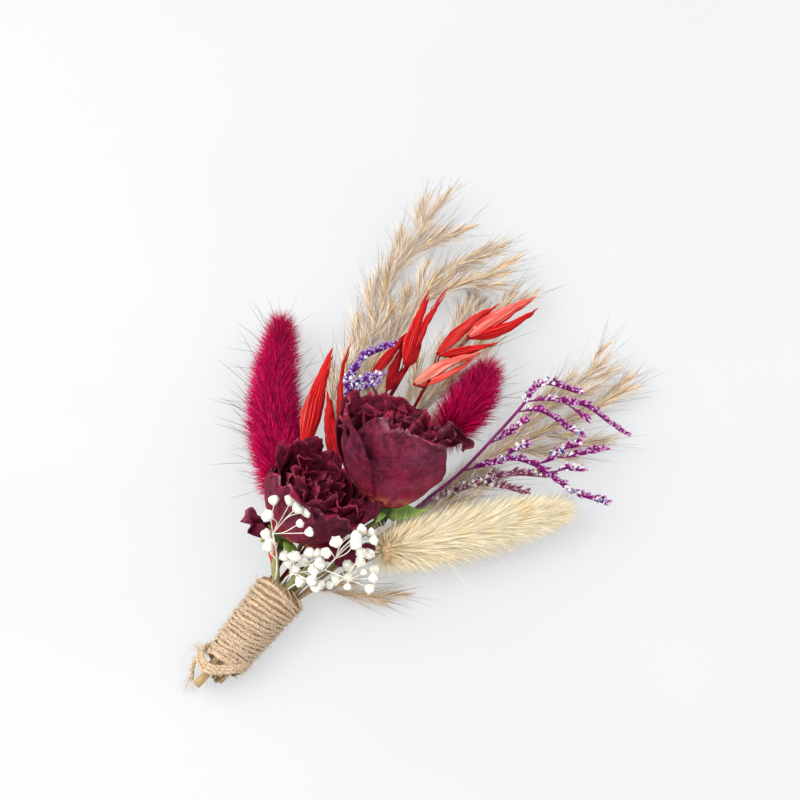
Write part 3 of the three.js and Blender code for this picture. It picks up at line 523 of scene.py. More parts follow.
def petalPaint():
    paint = Paint("driedPetal", roughness=0.65, specular=0.1)
    u, v, outer, dust, tint = paint.marks("u", "v", "outer", "dust", "tint")
    outer = outer * dust
    mottle = paint.noise(420.0, 5.0)
    deep, middle, light = (0.03, 0.0008, 0.007), (0.115, 0.003, 0.02), (0.22, 0.007, 0.038)
    colour = paint.ramp(mottle, (0.3, deep), (0.52, middle), (0.75, light))
    red = paint.ramp(paint.noise(900.0), (0.3, (0.2, 0.002, 0.02)), (0.7, (0.4, 0.008, 0.035)))
    foot = paint.grey(v, 0.6, 0.12) * paint.grey(paint.noise(180.0), 0.35, 0.6, 0.4, 0.95)
    colour = paint.blend(foot, colour, red)
    glow = paint.grey(v, 0.2, 0.06) * paint.grey(mottle, 0.45, 0.62)
    colour = paint.blend(glow, colour, (0.6, 0.24, 0.08))
    dusty = paint.grey(paint.noise(210.0, 6.0), 0.42, 0.75, 0.04, 0.5)
    colour = paint.blend(outer * dusty, colour, (0.2, 0.055, 0.1))
    specks = paint.grey(paint.noise(5200.0, 2.0), 0.6, 0.72) * 0.3
    colour = paint.blend(specks * outer, colour, (0.34, 0.15, 0.2))
    grain = paint.grey(paint.noise(2400.0, 3.0), 0.36, 0.64, 0.62, 1.0)
    colour = paint.blend(grain, (0.025, 0.002, 0.008), colour)
    # Along the rims: wear and a painted highlight, greyish pink on the dusty outer faces and crimson on the
    # rest
    rim = paint.blend(outer, (0.46, 0.03, 0.07), (0.3, 0.14, 0.16))
    wornRimAndHighlight = paint.grey(v, 0.93, 1.0) * paint.grey(paint.noise(700.0), 0.4, 0.62, 0.1, 0.8)
    colour = paint.blend(wornRimAndHighlight, colour, rim)
    colour = paint.blend(paint.grey(tint, 0, 1, 0.5, 1.0), (0.012, 0.0004, 0.003), colour)
    waves = {"Scale": 5.0, "Distortion": 6.0, "Detail": 3.0}
    veins = paint.node("TexWave", paint.node("CombineXYZ", u, v), inputs=waves, out="Fac")
    return paint.finish(colour, veins * 0.3 + paint.noise(1500.0, 6.0), 0.7, 0.3)


def greenPaint():
    paint = Paint("driedGreen", roughness=0.6, specular=0.35)
    deep, middle, light = (0.08, 0.15, 0.02), (0.19, 0.3, 0.045), (0.34, 0.42, 0.1)
    colour = paint.ramp(paint.noise(330.0, 4.0), (0.3, deep), (0.52, middle), (0.75, light))
    # Painted shade: the hip and the feet of the sepals, under the bloom, turn dark green
    colour = paint.blend(paint.grey(*paint.marks("v"), 0.0, 0.2), (0.03, 0.055, 0.012), colour)
    return paint.finish(colour, paint.noise(1500.0, 4.0), 0.4)


def oatPaint():
    paint = Paint("dyedHusk", roughness=0.6, specular=0.08)
    u, v, tone = paint.marks("u", "v", "tone")
    streaks = paint.noise(1.0, 3.0, paint.node("CombineXYZ", u * 15.0, v * 1.3, tone * 40.0))
    deep, vivid, pale = (paint.ramp(streaks, *stops) for stops in (
        ((0.36, (0.09, 0.0, 0.003)), (0.54, (0.26, 0.001, 0.004)), (0.72, (0.42, 0.02, 0.015))),
        ((0.38, (0.15, 0.0, 0.002)), (0.5, (0.44, 0.001, 0.004)), (0.68, (0.58, 0.05, 0.035))),
        ((0.38, (0.4, 0.004, 0.008)), (0.5, (0.56, 0.07, 0.055)), (0.66, (0.72, 0.38, 0.29))),
    ))
    colour = paint.blend(paint.grey(tone, 0.15, 0.45), deep, vivid)
    colour = paint.blend(paint.grey(tone, 0.55, 0.95), colour, pale)
    dry = paint.grey(tone, 0.9, 1.0) * paint.grey(v, 0.5, 0.05, 0.0, 0.75)
    return paint.finish(paint.blend(dry, colour, (0.5, 0.3, 0.2)), streaks, 0.5, 0.12)


def twinePaint():
    paint = Paint("juteTwine", roughness=0.85, specular=0.15)
    along, turned, kind, fuzz, sleeve = paint.marks("along", "round", "kind", "fuzz", "sleeve")
    fibres = paint.noise(3.2, 5.0, paint.node("CombineXYZ", along * 0.45, turned * 2.2, kind))
    deep, middle, light = (0.13, 0.07, 0.03), (0.42, 0.285, 0.165), (0.68, 0.53, 0.38)
    colour = paint.ramp(fibres, (0.36, deep), (0.46, middle), (0.6, light))
    patches = paint.grey(paint.noise(230.0, 4.0), 0.42, 0.7, 0.0, 0.5)
    colour = paint.blend(patches, colour, (0.54, 0.42, 0.3))
    colour = paint.blend(fuzz * 0.8, colour, (0.62, 0.5, 0.37))
    # Painted shade: the sleeve seen between the turns is a darker brown
    return paint.finish(paint.blend(sleeve, colour, (0.24, 0.15, 0.08)), fibres, 0.8, 0.1)


def plumePaint():
    paint = Paint("reedPlume", roughness=0.6, specular=0.2)
    rise, tint, kind = paint.marks("rise", "tint", "kind")
    silk = paint.ramp(rise, (0.0, (0.66, 0.5, 0.38)), (0.4, (0.84, 0.74, 0.64)), (1.0, (0.96, 0.92, 0.88)))
    silk = paint.blend(paint.grey(tint, 0.6, 1.0, 0, 0.7), silk, (0.5, 0.39, 0.3))
    husk = paint.ramp(tint, (0.0, (0.4, 0.22, 0.08)), (0.45, (0.66, 0.44, 0.2)), (1.0, (0.84, 0.64, 0.38)))
    husk = paint.blend(paint.grey(rise, 0.65, 1.0, 0, 0.6), husk, (0.3, 0.17, 0.075))
    awn = paint.ramp(tint, (0.0, (0.07, 0.055, 0.05)), (0.6, (0.17, 0.12, 0.08)), (1.0, (0.4, 0.3, 0.19)))
    colour = paint.blend(paint.grey(kind, 0.0, 1.0), silk, husk)
    return paint.finish(paint.blend(paint.grey(kind, 1.0, 2.0), colour, awn))


def lavenderPaint(name, deep, bright, rim, white, blue):
    # Packed florets with pale papery rims, and here and there a cluster of open white and blue ones
    paint = Paint(name, roughness=0.6, specular=0.12)
    rise, tint, kind = paint.marks("rise", "tint", "kind")
    body = paint.ramp(paint.noise(1400.0), (0.35, deep), (0.65, bright))
    colour = paint.blend(paint.grey(rise, 0.78, 1.0, 0.0, 0.8), body, rim)
    heart = paint.grey(tint, 0.74, 0.78) * paint.grey(rise, 0.97, 0.9)
    flower = paint.blend(heart, paint.blend(paint.grey(rise, 0.2, 0.6), body, white), blue)
    return paint.finish(paint.blend(kind, colour, flower), paint.noise(2500.0), 0.3)


def budPaint():
    paint = Paint("driedBud", roughness=0.75, specular=0.2)
    deep, middle, light = (0.5, 0.46, 0.35), (0.7, 0.68, 0.6), (0.78, 0.77, 0.74)
    colour = paint.ramp(paint.noise(900.0, 4.0), (0.3, deep), (0.52, middle), (0.75, light))
    return paint.finish(colour, paint.noise(2600.0, 4.0), 0.6, 0.15)


paints = {
    "magenta": furPaint(
        "magentaFur", (0.12, 0.0, 0.02), (0.72, 0.001, 0.078), (1, 0.045, 0.3), (0.5, 0.0, 0.045),
        (0.05, 0.012, 0.022), 0.34
    ),
    "cream": furPaint(
        "creamFur", (1, 0.8, 0.52), (1, 0.88, 0.62), (1, 0.97, 0.86), (1, 0.77, 0.42), (0.8, 0.68, 0.5), 0.92
    ),
    "stem": stemPaint("dryStem", (0.42, 0.3, 0.17), (0.2, 0.12, 0.06)),
    "greenStem": stemPaint("roseStem", (0.32, 0.3, 0.13), (0.12, 0.13, 0.04), (0.46, 0.31, 0.14), (4, -4)),
    "petal": petalPaint(),
    "green": greenPaint(),
    "oat": oatPaint(),
    "twine": twinePaint(),
    "plume": plumePaint(),
    "lavender": lavenderPaint(
        "dyedFloret", (0.07, 0.001, 0.05), (0.24, 0.003, 0.16), (0.74, 0.44, 0.66), (0.78, 0.74, 0.76),
        (0.05, 0.06, 0.26),
    ),
    "violet": lavenderPaint(
        "violetFloret", (0.045, 0.003, 0.09), (0.13, 0.008, 0.22), (0.5, 0.36, 0.62), (0.76, 0.72, 0.78),
        (0.04, 0.05, 0.26),
    ),
    "fadedLavender": lavenderPaint(
        "fadedFloret", (0.08, 0.012, 0.04), (0.22, 0.035, 0.11), (0.5, 0.34, 0.33), (0.76, 0.66, 0.58),
        (0.07, 0.05, 0.2),
    ),
    "purpleStem": stemPaint(
        "dyedStem", (0.19, 0.009, 0.11), (0.08, 0.004, 0.05), (0.24, 0.19, 0.08), (62, 42)
    ),
    "bud": budPaint(),
}
print("materials made:", len(paints))

# The twine handle, and the places where stems pass through it

handle = {
    "pitch": 1.27, "turnsBelow": 3.5, "turnsAbove": 15.5, "footRadius": 5.18, "mouthRadius": 6.95,
    "flat": 0.2, "sides": 12, "siteGap": 2.3,
}
handleFoot = -handle["turnsBelow"] * handle["pitch"]
handleMouth = handle["turnsAbove"] * handle["pitch"]
handleTurns = handle["turnsBelow"] + handle["turnsAbove"]
facetShare = math.cos(math.pi / handle["sides"])


def handleRadius(y):
    return mix(handle["footRadius"], handle["mouthRadius"], (y - handleFoot) / (handleMouth - handleFoot))


def handleHeight(y):
    return handleRadius(y) * facetShare - handle["flat"]


def siteAt(column, row, y):
    gap = handle["siteGap"]
    return (column * gap, y, handleHeight(y) + row * gap * math.sin(math.pi / 3))


def longStem(column, row, endX, endHeight, endY):
    mouth = siteAt(column, row, handleMouth)
    end = (endX, endY, handleHeight(endY) + endHeight)
    return [end, tuple(Vector(end).lerp(Vector(mouth), 0.6)), mouth]


def fineStem(column, row, endY=9):
    return [siteAt(column, row, y) for y in (endY, (endY + handleMouth) / 2, handleMouth)]


twine = {
    "plies": 3, "plyRadius": 0.29, "plyOffset": 0.265, "twist": 1.7, "wander": 0.51, "step": 0.5, "sink": 0.6,
    "sag": 2.6, "slant": 0.07, "fuzzLength": 1.3, "fuzzHairs": 0.95, "wisps": 70, "fibres": 130,
    "sleeve": (0.8, 1.1),
    "wispRanges": ((2, 6), (0.2, 1.1), (-1.5, 1.5)),  # length, rise and drift
    "fibreRanges": ((5, 15), (0, 0.16), (-5, 5)),
    "hitch": [
        (5, -1.3, 5), (4.7, -3.8, 7.3), (2.6, -6.9, 9), (-1.3, -9, 9.2), (-5.2, -6.6, 7.2),
        (-6, -3.8, 4.8), (-4.4, -2, 2), (0, -1.4, 0.8), (4, -1, 1.7), (5.2, -0.6, 4.6),
    ],
    "hitchShifts": [(0, 0, 0), (0.1, 0.95, 0.1), (-0.2, 1.8, -0.1)],
    "looseEnd": [(-5.6, -5.4, 5.4), (-6.2, -7.4, 4.2), (-5.4, -9.4, 2.6), (-4.4, -10.6, 1.4)],
    "frays": [
        {"at": (-4.8, -9.8, 2), "towards": (1, -6, -1.5), "count": 14, "length": 5},
        {"at": (-5.4, -4.8, 6.6), "towards": (-5, 1, -0.4), "count": 22, "length": 3.6},
        {"at": (-1.4, -9.6, 6), "towards": (1, -5, -3), "count": 8, "length": 6},
    ],
}


def twineTree():
    tree = Growth("twistedTwine", {
        "Ply radius": 0.0003, "Ply offset": 0.0003, "Twist": 1000.0, "Fuzz length": 0.001,
        "Hairs": 2e6, "Hair": "Object", "Material": "Material", "Seed": 3,
    })
    given, curve, plies = tree.given, tree.curve("twine"), []
    length = tree.node("SplineParameter", out="Length")
    normal, tangent = tree.node("InputNormal"), tree.node("InputTangent")
    for ply in range(twine["plies"]):
        turn = length * given["Twist"] + 2 * math.pi * ply / twine["plies"]
        aside = normal * turn.maths("COSINE") + tangent.maths("CROSS_PRODUCT", normal) * turn.maths("SINE")
        moved = tree.node("SetPosition", curve, inputs={"Offset": aside * given["Ply offset"]})
        moved = tree.store(moved, along=length * (1 / mm), kind=5.0 * ply)
        swell = (length * (410.0 + 130.0 * ply)).maths("SINE") * 0.22 + 1.0
        profile = tree.store(tree.circle(5, given["Ply radius"]), round=tree.node("InputIndex") * 0.35)
        plies.insert(0, tree.sweep(moved, swell, profile))
    strands = tree.smooth(tree.join(plies))
    sleeve = tree.node("SeparateGeometry", given["Geometry"], tree.mark("sleeve") > 0.5)
    wisps = tree.sweep(tree.curve("wisp"), tree.mark("wisp"), tree.circle(3))
    wisps = tree.painted(tree.store(wisps, fuzz=1.0))
    spread = {"Density": given["Hairs"], "Seed": given["Seed"]}
    spots = tree.node("DistributePointsOnFaces", strands, inputs=spread)
    anyWay = tree.node("RandomValue", (-1, -1, -1), (1, 1, 1), inputs={"Seed": 21}, data_type="FLOAT_VECTOR")
    fuzz = tree.grow(
        tree.store(spots, reach=1.0, fuzz=1.0), anyWay, spots.also("Normal"), "Hair",
        given["Fuzz length"], lean=0.7, seed=5, leanSpread=0.5, lengthSpread=0.6, bend=0.3,
        clumps=300.0, clumping=0.5,
    )
    return tree.finish(sleeve, strands, wisps, fuzz)


def onTurns(turn, lift=0.0):  # a place on the winding, so many turns from the lower end
    share = turn / handleTurns
    angle = 2 * math.pi * turn + 0.4
    middle = max(0, math.sin(math.pi * min(1, max(0, share)))) ** 0.6
    y = mix(handleFoot + 0.4, handleMouth - 0.4, share)
    y += twine["wander"] * noise.noise(Vector((1.1 * math.cos(angle), 1.1 * math.sin(angle), turn)))
    y += middle * (twine["slant"] * handle["mouthRadius"] * math.cos(angle) - twine["sag"] * math.sin(angle))
    radius = handleRadius(y) - twine["sink"] + lift + 0.2 * noise.noise(Vector((turn * 2.3, 8.7, 0)))
    return Vector((radius * math.cos(angle), y, max(handleHeight(y) + radius * math.sin(angle), 0.64)))


def addSleeve(draft):  # the under layer of the winding, a closed tube that hides the stems between the turns; its darker brown is painted shade
    sides, steps = 48, 10
    outside, inside = twine["sleeve"]
    rings = [(outside, i) for i in range(steps + 1)] + [(inside, i) for i in range(steps, -1, -1)]
    points = []
    for depth, i in rings:
        y = mix(handleFoot + 0.5, handleMouth - 0.5, i / steps)
        radius = handleRadius(y) - depth
        for turn in around(sides):
            points.append(Vector((radius * math.cos(turn), y, handleHeight(y) + radius * math.sin(turn))))
    faces = [[corner % len(points) for corner in (a, d, c, b)] for a, b, c, d in ringFaces(len(rings), sides)]
    draft.add(points, faces, sleeve=1.0)


def addWisp(draft, points, radius):
    for point in points:
        point.z = max(point.z, 0.3)
    draft.path(points, wisp=radius * mm)


def addFibres(draft, rng):  # fibres that have come out of the turns, short and bent or long and flat
    for k in range(twine["wisps"] + twine["fibres"]):
        isWisp = k < twine["wisps"]
        start = rng.uniform(0.5, handleTurns - 0.5)
        ranges = twine["wispRanges"] if isWisp else twine["fibreRanges"]
        length, rise, drift = (rng.uniform(*ends) for ends in ranges)
        reach = length / (2 * math.pi * handle["mouthRadius"])
        points = []
        for share in (i / 8 for i in range(9)):
            place = onTurns(start + reach * share, 0.5 + rise * math.sin(math.pi * share * 0.7))
            points.append(place + Vector((0, drift * (share * share if isWisp else share), 0)))
        if handleFoot < points[-1].y < handleMouth:
            addWisp(draft, points, 0.05 if isWisp else rng.uniform(0.06, 0.1))


def addFrays(draft, rng):  # cut ends that come apart into fibres
    def scatter(most):
        return Vector([rng.uniform(-most, most) for _ in range(3)])

    for fray in twine["frays"]:
        for _ in range(fray["count"]):
            start = Vector(fray["at"]) + scatter(0.8)
            way = (Vector(fray["towards"]).normalized() + 0.45 * scatter(1)).normalized()
            bow = 0.5 * scatter(1)
            length = fray["length"] * rng.uniform(0.5, 1)
            addWisp(draft, [start + way * length * i / 5 + bow * (i / 5) ** 2 for i in range(6)], 0.06)


def makeTwine():
    rng = random.Random(17)
    draft = Draft()
    steps = 64
    winding = [onTurns(k / steps) for k in range(int(handleTurns * steps) + 1)]
    draft.path(evenly(winding, twine["step"]), twine=1.0)
    for shift in twine["hitchShifts"]:  # the last turns cross the cut ends of the stems
        draft.path(smoothPath([Vector(p) + Vector(shift) for p in twine["hitch"]], twine["step"]), twine=1.0)
    draft.path(smoothPath(twine["looseEnd"], twine["step"]), twine=1.0)
    addSleeve(draft)
    addFibres(draft, rng)
    addFrays(draft, rng)
    piece = draft.make("twineWrap", paints["twine"])
    sizes = {
        "Ply radius": twine["plyRadius"], "Ply offset": twine["plyOffset"],
        "Fuzz length": twine["fuzzLength"],
    }
    bakeTree(piece, twineTree(), sizes, {
        "Twist": twine["twist"] / mm, "Hairs": twine["fuzzHairs"] / mm**2,
        "Hair": hairShape("fuzzHair", 0.03, 0.3), "Material": paints["twine"], "Seed": 3,
    })
    finishPiece(piece, "twine_wrap", "twine")


makeTwine()

# Bunny tail grass

tailProfile = {"start": 0.17, "end": 0.95, "skew": 0.75, "power": 0.6, "core": 0.46}
furLayers = {
    "Hair": {"seed": 10, "leanSpread": 0.14, "bend": 0.0, "clumping": 0.22, "kind": 0.0},
    "Tuft": {"seed": 25, "leanSpread": 0.22, "bend": 0.1, "clumping": 0.3, "kind": 0.0},
    "Awn": {"seed": 40, "leanSpread": 0.4, "bend": 0.08, "clumping": 0.7, "kind": 1.0},
}
tails = {  # each layer: hairs on a square millimetre, their length and their lean
    "bunnyTailLeft": {
        "node": "bunny_tail_left", "slot": "magenta_tails", "paint": "magenta", "radius": 7.3,
        "head": [(-15.2, 40, 8.8), (-34.6, 59.4, 7.6), (-49.4, 81, 7.4)],
        "stem": [*longStem(-1.5, -1, -2.75, -0.6, -7.6), (-9, 31.5, 6.8)],
        "Hair": (11, 6.2, 0.6), "Tuft": (6, 6.076, 0.8), "Awn": (0.17, 15, 0.8), "clumping": 1.9, "seed": 5,
    },
    "bunnyTailCream": {
        "node": "bunny_tail_cream", "slot": "cream_tail", "paint": "cream", "radius": 7.8,
        "head": [(14, 43, 8.3), (28.4, 61, 8.3), (43, 79.5, 8)],
        "stem": [*longStem(1.87, 0, 2.6, 0, -7), (9.8, 32.5, 7.8)],
        "Hair": (16, 7.9, 0.46), "Tuft": (3, 7.742, 0.5), "Awn": (0.08, 14, 0.8), "clumping": 0.7, "seed": 6,
    },
    "bunnyTailBack": {
        "node": "bunny_tail_back", "slot": "magenta_tails", "paint": "magenta", "radius": 5.8,
        "head": [(7.2, 79.5, 8.6), (6.6, 90, 9.2), (4.9, 102, 9.8)],
        "stem": [*longStem(0.5, -1, 0.3, -1, -7.8), (2.4, 40, 5.4), (4.4, 60, 5.4)],
        "Hair": (12, 6.6, 0.5), "Tuft": (6, 6.468, 0.74), "Awn": (0.24, 14, 0.8), "clumping": 1.4, "seed": 7,
    },
}


def furTree():
    sizes = {"Clumping": 1.0, "Material": "Material", "Seed": 1}
    for name in furLayers:
        sizes |= {name: "Object", name + "s": 6e6, name + " length": 0.008, name + " lean": 0.5}
    tree = Growth("tailFur", sizes)
    given, parts = tree.given, [tree.given["Geometry"]]
    for name, layer in furLayers.items():
        spread = {"Density": given[name + "s"], "Seed": given["Seed"] + float(layer["seed"])}
        hairy = tree.mark("reach") > 0.02
        spots = tree.node("DistributePointsOnFaces", given["Geometry"], hairy, inputs=spread)
        looks = {**layer, "clumping": given["Clumping"] * layer["clumping"]}
        parts.append(tree.grow(
            spots, tree.mark("flow", "FLOAT_VECTOR"), spots.also("Normal"), name,
            given[name + " length"], given[name + " lean"], lengthSpread=0.24, clumps=340.0, **looks,
        ))
    return tree.finish(*parts)


def makeTails():
    tree = furTree()
    hairs = {
        "Hair": hairShape("furHair", 0.0088, 0, bends=1), "Tuft": hairShape("furTuft", 0.017, 0.1),
        "Awn": hairShape("awnHair", 0.004, 0.08, bends=4),
    }
    for name, tail in tails.items():
        head = smoothPath(tail["head"], 1.2)
        shares = [i / (len(head) - 1) for i in range(len(head))]
        start, end = tailProfile["start"], tailProfile["end"]
        skewed = [mix(start, end, s ** tailProfile["skew"]) for s in shares]
        profile = [math.sin(math.pi * s) ** tailProfile["power"] for s in skewed]
        fromFoot = [min(1, 5 * s) for s in shares]
        core = tailProfile["core"] * tail["radius"]
        draft = Draft()
        draft.tube(
            head, lambda s: core * profile[round(s * (len(head) - 1))], 16,
            flow=[way * mix(0.2, 1, f) for way, f in zip(tangents(head), fromFoot)],
            reach=[mix(0.55, 1, p) * mix(0.72, 1, f) for p, f in zip(profile, fromFoot)], rise=0.0, tint=0.5,
        )
        stem = smoothPath([*tail["stem"], tail["head"][0]], 3)
        draft.tube(stem, lambda s: 0.5, 7, skin=1, flow=Vector(), reach=0.0)
        piece = draft.make(name, paints[tail["paint"]], paints["stem"])
        sizes = {hair + " length": tail[hair][1] for hair in hairs}
        values = {"Clumping": tail["clumping"], "Material": paints[tail["paint"]], "Seed": tail["seed"]}
        for hair, shape in hairs.items():
            values |= {hair: shape, hair + "s": tail[hair][0] / mm**2, hair + " lean": tail[hair][2]}
        bakeTree(piece, tree, sizes, values)
        finishPiece(piece, tail["node"], tail["slot"])


makeTails()

# Reed plumes and sea lavender: stems with layers of small parts along them

def layeredTree(name, layers, clumps, upward, flatness):
    sizes = {"Material": "Material", "Stem material": "Material"}
    for part in layers:
        sizes |= {part: "Object", part + " spacing": 0.001, part + " length": 0.01}
    tree = Growth(name, sizes)
    curve, stems = tree.stems()
    parts = [stems]
    for part, layer in layers.items():
        spacing, length = tree.given[part + " spacing"], tree.given[part + " length"]
        points, along, outward = tree.spotsAlong(curve, spacing, layer["turnSeed"], upward)
        if "patchy" in layer:
            isOpen = tree.node("TexNoise", inputs={"Scale": 230.0, "Detail": 1.0}) > layer["patchy"]
            points = tree.store(points, reach=tree.mark("reach") * isOpen)
        outward = outward * (1, 1, flatness)
        parts.append(tree.grow(points, along, outward, part, length, clumps=clumps, **layer["looks"]))
    return tree.finish(*parts)


def makeLayered(draft, name, node, slot, tree, layers, shapes, skins):
    piece = draft.make(name)
    sizes = {}
    for part, layer in layers.items():
        sizes |= {part + " spacing": layer["spacing"], part + " length": layer["length"]}
    bakeTree(piece, tree, sizes, {**shapes, "Material": paints[skins[0]], "Stem material": paints[skins[1]]})
    finishPiece(piece, node, slot)


plumes = {
    "reedPlumeLeft": {
        "node": "reed_plume_left", "seed": 31, "twigs": 20,
        "stem": [*longStem(-1, -2, -1.8, -1.75, -9.8), (-8.2, 42, 3.6), (-15.6, 60, 4), (-18, 65, 4.2)],
        "crown": [(-21.6, 73, 4.8), (-29, 96, 6), (-36.2, 116.4, 6.6), (-39.4, 140, 7)],
        "fronds": [
            [(-24.4, 85, 5.3), (-31, 97.6, 4.4), (-37.8, 113.8, 3.6)],
            [(-35.2, 110, 6.4), (-34.6, 121, 8), (-32, 131, 9)],
        ],
    },
    "reedPlumeMiddle": {
        "node": "reed_plume_middle", "seed": 32, "twigs": 20,
        "stem": [*longStem(0, -2, -0.5, -2.5, -7.4), (-4, 42, 3), (-11, 62, 3.2), (-15, 74, 3.4)],
        "crown": [(-17.8, 83, 3.8), (-22.6, 100, 5.4), (-25, 117, 7), (-19.4, 135, 8)],
        "fronds": [[(-24, 108, 6), (-19.4, 118, 8), (-11.6, 128.4, 9)]],
    },
    "reedPlumeInner": {
        "node": "reed_plume_inner", "seed": 33, "twigs": 16,
        "stem": [*longStem(1, -2, 0.9, -1.9, -8), (0.6, 42, 2.8), (-2.2, 62, 2.8), (-4, 75, 2.9)],
        "crown": [(-5.2, 83, 3.2), (-7.4, 96, 4), (-6.4, 112, 5.4), (-1.8, 127, 7)],
        "fronds": [
            [(-7.4, 100, 4.3), (-11.4, 110, 5), (-13, 120, 5.4)],
            [(-5.2, 83, 3.4), (-3.4, 92, 6), (-2.9, 104.3, 7), (-3.2, 114, 7)],
        ],
    },
    "reedPlumeRight": {
        "node": "reed_plume_right", "seed": 34, "twigs": 20,
        "stem": [*longStem(1.5, -1, 2.1, -1.2, -7.6), (7.4, 40, 3.8), (12.6, 58, 4), (13.8, 62, 4.2)],
        "crown": [(17.6, 76, 5), (22.4, 98, 6), (27, 124, 7)],
        "fronds": [
            [(20.6, 90, 5.6), (29, 104, 5), (36.4, 122, 4.6)],
            [(19.9, 86, 5.4), (29, 94, 4), (37, 103, 3)],
            [(4.4, 25, 4.3), (8.6, 28.4, 3.4), (14.6, 31.4, 2), (19, 33.6, 1.7)],
            [(8, 42, 3.9), (13, 50, 6.6), (17.3, 57.7, 9.3), (19.6, 65.8, 10.6), (21.6, 72.6, 11)],
        ],
    },
}
plumeLayers = {
    "Silk": {"spacing": 0.15, "length": 10, "turnSeed": 59, "looks": {
        "seed": 50, "lean": 0.34, "leanSpread": 0.2, "clumping": 0.5, "bend": 0.12, "lengthSpread": 0.35}},
    "Down": {"spacing": 0.07, "length": 8, "turnSeed": 79, "looks": {
        "seed": 70, "lean": 0.5, "clumping": 0.6, "lengthSpread": 0.35}},
    "Husk": {"spacing": 0.28, "length": 7.4, "turnSeed": 99, "looks": {
        "seed": 90, "lean": 0.27, "leanSpread": 0.16, "clumping": 0.26, "bend": 0.04, "kind": 1.0,
        "lengthSpread": 0.35}},
    "Awn": {"spacing": 1.05, "length": 17, "turnSeed": 119, "looks": {
        "seed": 110, "lean": 0.22, "leanSpread": 0.2, "clumping": 0.2, "bend": 0.02, "kind": 2.0,
        "lengthSpread": 0.35}},
}


plumeForm = {  # pairs run from foot to tip: thick is a radius, full a share of the hairs' length
    "bareShare": 0.42, "thick": (0.5, 0.2), "full": (1, 0.66), "frondThick": (0.35, 0.15),
    "frondFull": (0.95, 0.7), "frondTwigs": 4, "frondTwigLength": 8, "frondTwigThick": 0.12,
    "frondTwigFull": 0.72, "twigLength": (17, 7), "twigThick": 0.14, "twigFull": (0.9, 0.66),
}


def twigFrom(path, share, rng, length):  # a side twig that bends forward and out from the path
    i = round(share * (len(path) - 1))
    tangent = tangents(path)[i]
    side, over = across(path)[i]
    turn = rng.uniform(0, 2 * math.pi)
    outward = side * math.cos(turn) + over * math.sin(turn)
    outward.z *= 0.5
    lean = rng.uniform(0.3, 0.6)
    middle = path[i] + (tangent * math.cos(lean) + outward * math.sin(lean)) * length * 0.55
    end = middle + (tangent * math.cos(lean * 0.6) + outward * math.sin(lean * 0.6)) * length * 0.45
    for point in (middle, end):
        point.z = max(point.z, 1.2)
    return smoothPath([path[i], middle, end], 1.5)


def makePlumes():
    tree = layeredTree("plume", plumeLayers, 220.0, upward=False, flatness=0.6)
    shapes = {
        "Silk": hairShape("silkHair", 0.005, 0.16), "Down": hairShape("downHair", 0.0058, 0, bends=1),
        "Husk": hairShape("plumeHusk", 0.034, 0.04, bends=3, sides=4, flatness=0.4, belly=0.3),
        "Awn": hairShape("plumeAwn", 0.0036, 0.03, bends=3),
    }
    form = plumeForm
    for name, plume in plumes.items():
        rng = random.Random(plume["seed"])
        draft = Draft()
        main = smoothPath([*plume["stem"], *plume["crown"]], 1.5)
        first = round(len(main) * form["bareShare"])
        shares = [(i, i / len(main)) for i in range(len(main))]
        draft.path(
            main, thick=[mix(*form["thick"], share) * mm for i, share in shares],
            reach=[min(1, max(0, (i - first) / 8)) * mix(*form["full"], share) for i, share in shares],
        )
        for points in plume["fronds"]:
            frond = smoothPath(points, 1.5)
            shares = [(i, i / len(frond)) for i in range(len(frond))]
            draft.path(
                frond, thick=[mix(*form["frondThick"], share) * mm for i, share in shares],
                reach=[min(1, 0.2 + i / 5) * mix(*form["frondFull"], share) for i, share in shares],
            )
            for k in range(form["frondTwigs"]):
                share = mix(0.2, 0.85, k / (form["frondTwigs"] - 1))
                twig = twigFrom(frond, share, rng, form["frondTwigLength"])
                draft.path(twig, thick=form["frondTwigThick"] * mm, reach=form["frondTwigFull"])
        for k in range(plume["twigs"]):
            share = mix(0.1, 0.95, k / (plume["twigs"] - 1))
            twig = twigFrom(main[first:], share, rng, mix(*form["twigLength"], share))
            draft.path(twig, thick=form["twigThick"] * mm, reach=mix(*form["twigFull"], share))
        makeLayered(draft, name, plume["node"], "reed", tree, plumeLayers, shapes, ("plume", "stem"))


makePlumes()

